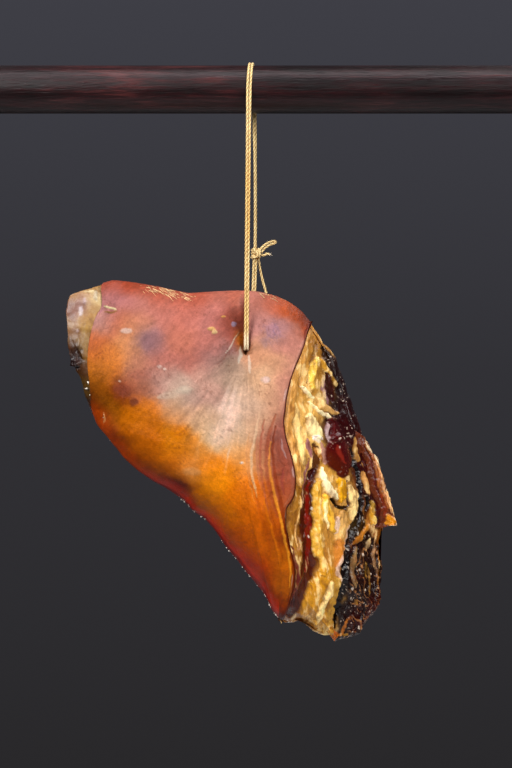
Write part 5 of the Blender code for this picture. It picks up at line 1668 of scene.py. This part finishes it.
hock = {
    "rows": 70,
    "around": 260,
    "rings": 26,
    "spots": [
        # the first three pale pinkish spots are painted highlights, the last two are pale fat
        (-153.5, 36, 2.0, 5.0, "#e6dadf"),
        (-150, 45, 1.8, 3.4, "#d8c4c8"),
        (-156, 17, 1.8, 1.6, "#c9b2ae"),
        (-140, 50, 2.4, 6.0, "#f0e6c0"),
        (-146, 54, 6.0, 1.6, "#e9d8a0"),
    ],
    "swatches": [
        (((-138, 58), (-150, 54), (-160, 50)), "#b98a46"),
        (((-142, 46), (-137, 50)), "#dcc58c"),
        (((-150, 46), (-154, 36), (-153, 44)), "#b08a80"),
        (((-160, 42), (-162, 34)), "#8c5c54"),
        (((-157, 26), (-160, 22)), "#a07862"),
        (((-150, 30), (-144, 38), (-142, 28)), "#b78a4c"),
        (((-148, 22), (-152, 20)), "#c29a4a"),
        (((-156, 14), (-150, 12)), "#80561c"),
        (((-164, 16), (-165, 28)), "#8a5a1c"),
        (((-147, 4), (-148, -6), (-147, -14)), "#a5781e"),
        (((-160, 4), (-157, 0)), "#4c2a08"),
        (((-159, -8), (-155, -14), (-158, -2)), "#240a04"),
        (((-150, -18), (-148, -24)), "#5c3408"),
        (((-149, -32), (-148, -40)), "#8a6a2c"),
        (((-146, -48), (-147, -56)), "#4a220c"),
        (((-164, 4), (-163, 40)), "#7a501c"),
    ],
}


def makeHock():
    rows, around, rings = hock["rows"], hock["around"], hock["rings"]
    edge = evenly(curveThrough([(p[0] + 1.5, p[1]) for p in ham["hockEdge"] if -62 < p[1] < 63], 6), 200)
    side = evenly(curveThrough(ham["hockSide"], 6), 200)
    angle = np.linspace(0, 2 * np.pi, around + 1)[:-1]
    drop = (1 - np.cos(angle)) / 2  # 0 at the top, 1 at the bottom
    share = np.linspace(0, 1, 200)
    edgeX, edgeZ = np.interp(drop, share, edge[:, 0]), np.interp(drop, share, edge[:, 1])
    sideX, sideZ = np.interp(drop, share, side[:, 0]), np.interp(drop, share, side[:, 1])
    edgeLevel = levelAt(edgeX, edgeZ)
    depth = halfThickness(edgeX, edgeZ) * np.sqrt(np.maximum(0, 1 - edgeLevel**2.6))
    depth = depth * (np.maximum(0, 1 - np.abs(2 * drop - 1) ** 9)) ** 0.5 - 0.8
    half = np.maximum(depth, 0) * np.where(angle < np.pi, -1, 1)
    t = np.linspace(-0.25, 1, rows)[:, None]
    x = edgeX[None] * (1 - t) + sideX[None] * t
    z = edgeZ[None] * (1 - t) + sideZ[None] * t
    thick = (1 - 0.14 * np.clip(t, 0, 1) ** 2.5) * (1 - 0.05 * smooth(0, -0.25, t))
    y = ham["shiftY"] + thick * half[None]
    z = z - np.sign(z - 2) * 1.2 * smooth(0.1, -0.25, t)
    # cut end, drawn in ring by ring
    k = np.linspace(0, 1, rings + 1)[1:][:, None]
    middle = (sideX.mean() + 1.0, ham["shiftY"], 2.0)
    ex = sideX[None] * (1 - k) + middle[0] * k - 2.2 * np.sin(np.pi * k) ** 0.6
    ez = sideZ[None] * (1 - k) + middle[2] * k
    ey = y[-1:] * (1 - k) + middle[1] * k
    x, y, z = np.vstack([x, ex]), np.vstack([y, ey]), np.vstack([z, ez])
    grid = placed(x, y, z)
    wrapped = np.concatenate([grid[:, -1:], grid, grid[:, :1]], axis=1)
    normal = normalsOf(wrapped)[:, 1:-1]
    centre = np.array([holeX - 0.140, ham["shiftY"] / 1000, holeZ])
    if ((grid - centre) * normal).sum() < 0:
        normal = -normal
    spread = np.concatenate([np.zeros(rows), np.linspace(0, 1, rings + 1)[1:]])[:, None] + 0 * x
    bone = np.hypot((y - ham["shiftY"]) / 15.0, (z - 18) / 15.0)
    px = np.where(spread > 0, -158 + 3 * clouds(y / 9, z / 9, 601), x)
    tint = swatches(
        px + 2 * clouds(y / 8, z / 8, 603), z + 2 * clouds(y / 8, z / 8, 604), hock["swatches"], 4.5
    )
    backSide = smooth(-2, 14, y)
    tint = mix(tint, "#b88b4a", 0.6 * backSide)
    meat = smooth(0.12, 0.26, spread)
    tint = mix(tint, "#6c2116", 0.8 * meat)
    tint = mix(tint, "#dcc79a", meat * smooth(1.08, 0.98, bone))
    tint = mix(tint, "#7d4a2a", meat * smooth(0.66, 0.58, bone))
    rise = 0.5 * clouds(y / 14, z / 14, 611) + 0.35 * clouds(y / 5 + x / 9, z / 5, 612) + 0.15 * clouds(
        y / 2 + x / 4, z / 2, 614
    )
    rise = rise + meat * (1.6 * smooth(1.1, 0.95, bone) - 2.6 * smooth(0.68, 0.5, bone))
    scab = smooth(
        1.25, 0.5, np.hypot((x + 158.5) / 7.5, (z + 6) / 13) + 0.35 * clouds(x / 4, z / 4, 619)
    ) * (y < 10)
    tint = mix(tint, "#2e1006", 0.85 * scab)
    rise = rise + 2.4 * scab * clouds(y / 3.5 + x / 5, z / 3.5, 617)
    for gx, gz, gw, gt, code in hock["spots"]:
        off = np.hypot((x - gx) / gw, (z - gz) / gt) + 0.3 * clouds(x / 3, z / 3, 620)
        tint = mix(tint, code, 0.85 * smooth(1.1, 0.5, off) * (y < 0))
        rise = rise + 0.6 * smooth(1.1, 0.3, off)
    mottle = clouds(x / 4.6 + y / 5, z / 8, 625, 4)
    tint = mix(tint, "#6a3c1c", 0.35 * smooth(0.1, 0.7, mottle))
    tint = mix(tint, "#ead6a0", 0.16 * smooth(0.2, 0.7, -mottle) * smooth(-10, 10, z))
    tint = tint * (0.66, 0.60, 0.58)
    shade = smooth(14, -14, z)[..., None]
    tint = np.clip(tint * (1 - np.array((0.30, 0.40, 0.72)) * shade), 0.001, 1)
    fade = smooth(-0.25, 0.02, np.concatenate([t[:, 0], np.ones(rings)]))[:, None] * smooth(1.0, 0.9, spread)
    grid = grid + normal * (rise * fade / 1000)[..., None]
    count = grid.shape[0]
    points = np.vstack([grid.reshape(-1, 3), grid[-1].mean(0)[None]])
    faces = gridFaces(count, around, True)
    last = (count - 1) * around + np.arange(around)
    cap = np.stack([np.full(around, count * around), last, np.roll(last, -1)], axis=1)
    tint = np.vstack([tint.reshape(-1, 3), tint[-1].mean(0)[None]])
    part = {"points": points, "faces": [faces, cap], "tint": tint, "wet": np.full(len(points), 0.7)}
    makePiece("hamHock", part, materials["fat"], "ham", ("ham_hock_stub",))


# bristles along the top and crumbs along the lower edge

hairs = {
    "colour": "#e3c48c",
    "width": 0.26,
    "topRuns": [
        (-127, -112, 12), (-112, -84, 26), (-82, -58, 46), (-58, -34, 14), (-30, -10, 9), (2, 30, 10)
    ],
    "crumb": "#eadfce",
}


def hair(start, bend, end, width, shade):
    path = curveThrough([start, bend, end], 5)
    count, sides = len(path), 5
    ahead = directions(path)
    across = np.cross(ahead, (0.1, 1.0, 0.2))
    across /= np.linalg.norm(across, axis=1, keepdims=True)
    up = np.cross(ahead, across)
    turn = np.arange(sides) * 2 * np.pi / sides
    size = (width * (1 - 0.75 * np.linspace(0, 1, count) ** 2) / 1000)[:, None, None]
    ring = across[:, None] * np.cos(turn)[None, :, None] + up[:, None] * np.sin(turn)[None, :, None]
    points = np.vstack([(path[:, None] + ring * size).reshape(-1, 3), path[-1:] + ahead[-1:] * 0.0002])
    last = (count - 1) * sides + np.arange(sides)
    tip = np.stack([np.full(sides, count * sides), last, np.roll(last, -1)], axis=1)
    tint = np.tile(np.clip(paint(hairs["colour"]) * shade, 0, 1), (len(points), 1))
    return {
        "points": points, "faces": [gridFaces(count, sides, True), tip], "tint": tint,
        "wet": np.full(len(points), 0.5)
    }


def makeBristles():
    dice = np.random.default_rng(12)
    parts = []
    topX = np.array([p[0] for p in outlineCurve if p[1] > 15])
    topZ = np.array([p[1] for p in outlineCurve if p[1] > 15])
    order = np.argsort(topX)
    starts = []
    for low, high, count in hairs["topRuns"]:
        for _ in range(count):
            x = dice.uniform(low, high)
            starts.append(
                (
                    x, float(np.interp(x, topX[order], topZ[order])) - dice.uniform(0.3, 6.0),
                    dice.uniform(3.5, 9.0), dice.uniform(-0.9, -0.15)
                )
            )
    for _ in range(9):
        starts.append(
            (
                -31 + dice.uniform(-4, 4), 18.5 + dice.uniform(-1.5, 1.5), dice.uniform(3, 7),
                dice.uniform(-2.4, -0.2)
            )
        )
    for x, z, size, slope in starts:
        dx, dz = size * math.cos(slope), size * math.sin(slope)
        pieces = [
            surfacePoint(x + dx * t, z + dz * t, -1, lift) for t,
            lift in ((0, -0.4), (0.5, 0.8), (1, 0.5 + 0.6 * dice.uniform()))
        ]
        parts.append(hair(*pieces, hairs["width"] * dice.uniform(0.7, 1.2), dice.uniform(0.6, 1.15)))
    makePiece("hamBristles", joined(parts), materials["fat"], "ham")


def makeCrumbs():
    dice = np.random.default_rng(5)
    low = curveThrough([p for p in ham["bodyOutline"] if p[1] < -45 and p[0] < 50], 10)
    low = low[np.argsort(low[:, 0])]
    spans = [
        (-62, -52, 9, 0.9), (-50, -38, 14, 0.85), (-36, -4, 9, 0.5), (-4, 17, 11, 0.6), (15, 30, 16, 0.8),
        (-130, -62, 7, 0.4), (28, 46, 9, 0.6)
    ]
    parts = []
    for first, last, count, size in spans:
        for _ in range(count):
            x = dice.uniform(first, last)
            z = float(np.interp(x, low[:, 0], low[:, 1])) + 3.2 * dice.uniform() ** 2 - 0.3
            centre = surfacePoint(x, z, -1, 0.1)
            parts.append(crumb(centre, size * (0.22 + 1.05 * dice.uniform() ** 2) / 1000, dice))
    for x, z, size in (
        (-131, -63, 1.2), (-131, -60, 0.9), (-79.5, -16.5, 0.8), (-77.5, -19, 0.7), (-75, -18, 0.6),
        (-116, -30, 0.6), (-4, -103, 0.7), (-146, -30, 1.0), (-148, -36, 1.1), (-145, -42, 0.8)
    ):
        parts.append(crumb(surfacePoint(x, z, -1, 0.2), size / 1000, dice))
    makePiece("hamCrumbs", joined(parts), materials["fat"], "ham")


def crumb(centre, size, dice):
    rings, sides = 5, 8
    lift = np.linspace(0, np.pi, rings + 2)[1:-1]
    turn = np.arange(sides) * 2 * np.pi / sides
    ball = np.stack(
        [
            np.sin(lift)[:, None] * np.cos(turn), np.sin(lift)[:, None] * np.sin(turn),
            np.cos(lift)[:, None] + 0 * turn
        ],
        axis=-1
    ).reshape(-1, 3)
    ball = np.vstack([ball, (0, 0, 1), (0, 0, -1)])
    ball = ball * (1 + 0.28 * dice.standard_normal((len(ball), 1))) * (
        dice.uniform(0.7, 1.5), 0.8, dice.uniform(0.7, 1.5)
    )
    sideRing = np.arange(sides)
    top = np.stack([np.full(sides, rings * sides), sideRing, np.roll(sideRing, -1)], axis=1)
    bottom = np.stack(
        [
            np.full(sides, rings * sides + 1), np.roll(sideRing, -1) + (rings - 1) * sides,
            sideRing + (rings - 1) * sides
        ],
        axis=1
    )
    tint = np.tile(np.clip(paint(hairs["crumb"]) * dice.uniform(0.7, 1.05), 0, 1), (len(ball), 1))
    faces = [gridFaces(rings, sides, True), top, bottom]
    return {"points": centre + ball * size, "faces": faces, "tint": tint, "wet": np.full(len(ball), 0.5)}


def dressNodes():
    wooden = {"rail": "rail", "stretcher": "beam"}
    for side in ("left", "right"):
        wooden[f"{side}_post"] = "post"
        wooden[f"{side}_foot"] = "foot"
        wooden[f"{side}_wedge"] = "peg"
        wooden[f"{side}_rail_peg"] = "peg"
        wooden[f"{side}_draw_peg"] = "dowel"
        wooden[f"{side}_front_foot_pad"] = "rubber"
        wooden[f"{side}_back_foot_pad"] = "rubber"
    wooden["ham_shank_bone"] = "fat"
    wooden["ham_thigh_bone"] = "fat"
    for name, kind in wooden.items():
        nodes[name].data.materials.clear()
        nodes[name].data.materials.append(materials[kind])


makeRind()
print("rind made")
makeFace()
makeFlap()
print("cut face made")
makeBack()
makeHock()
makeBristles()
makeCrumbs()
dressNodes()
print("ham made")
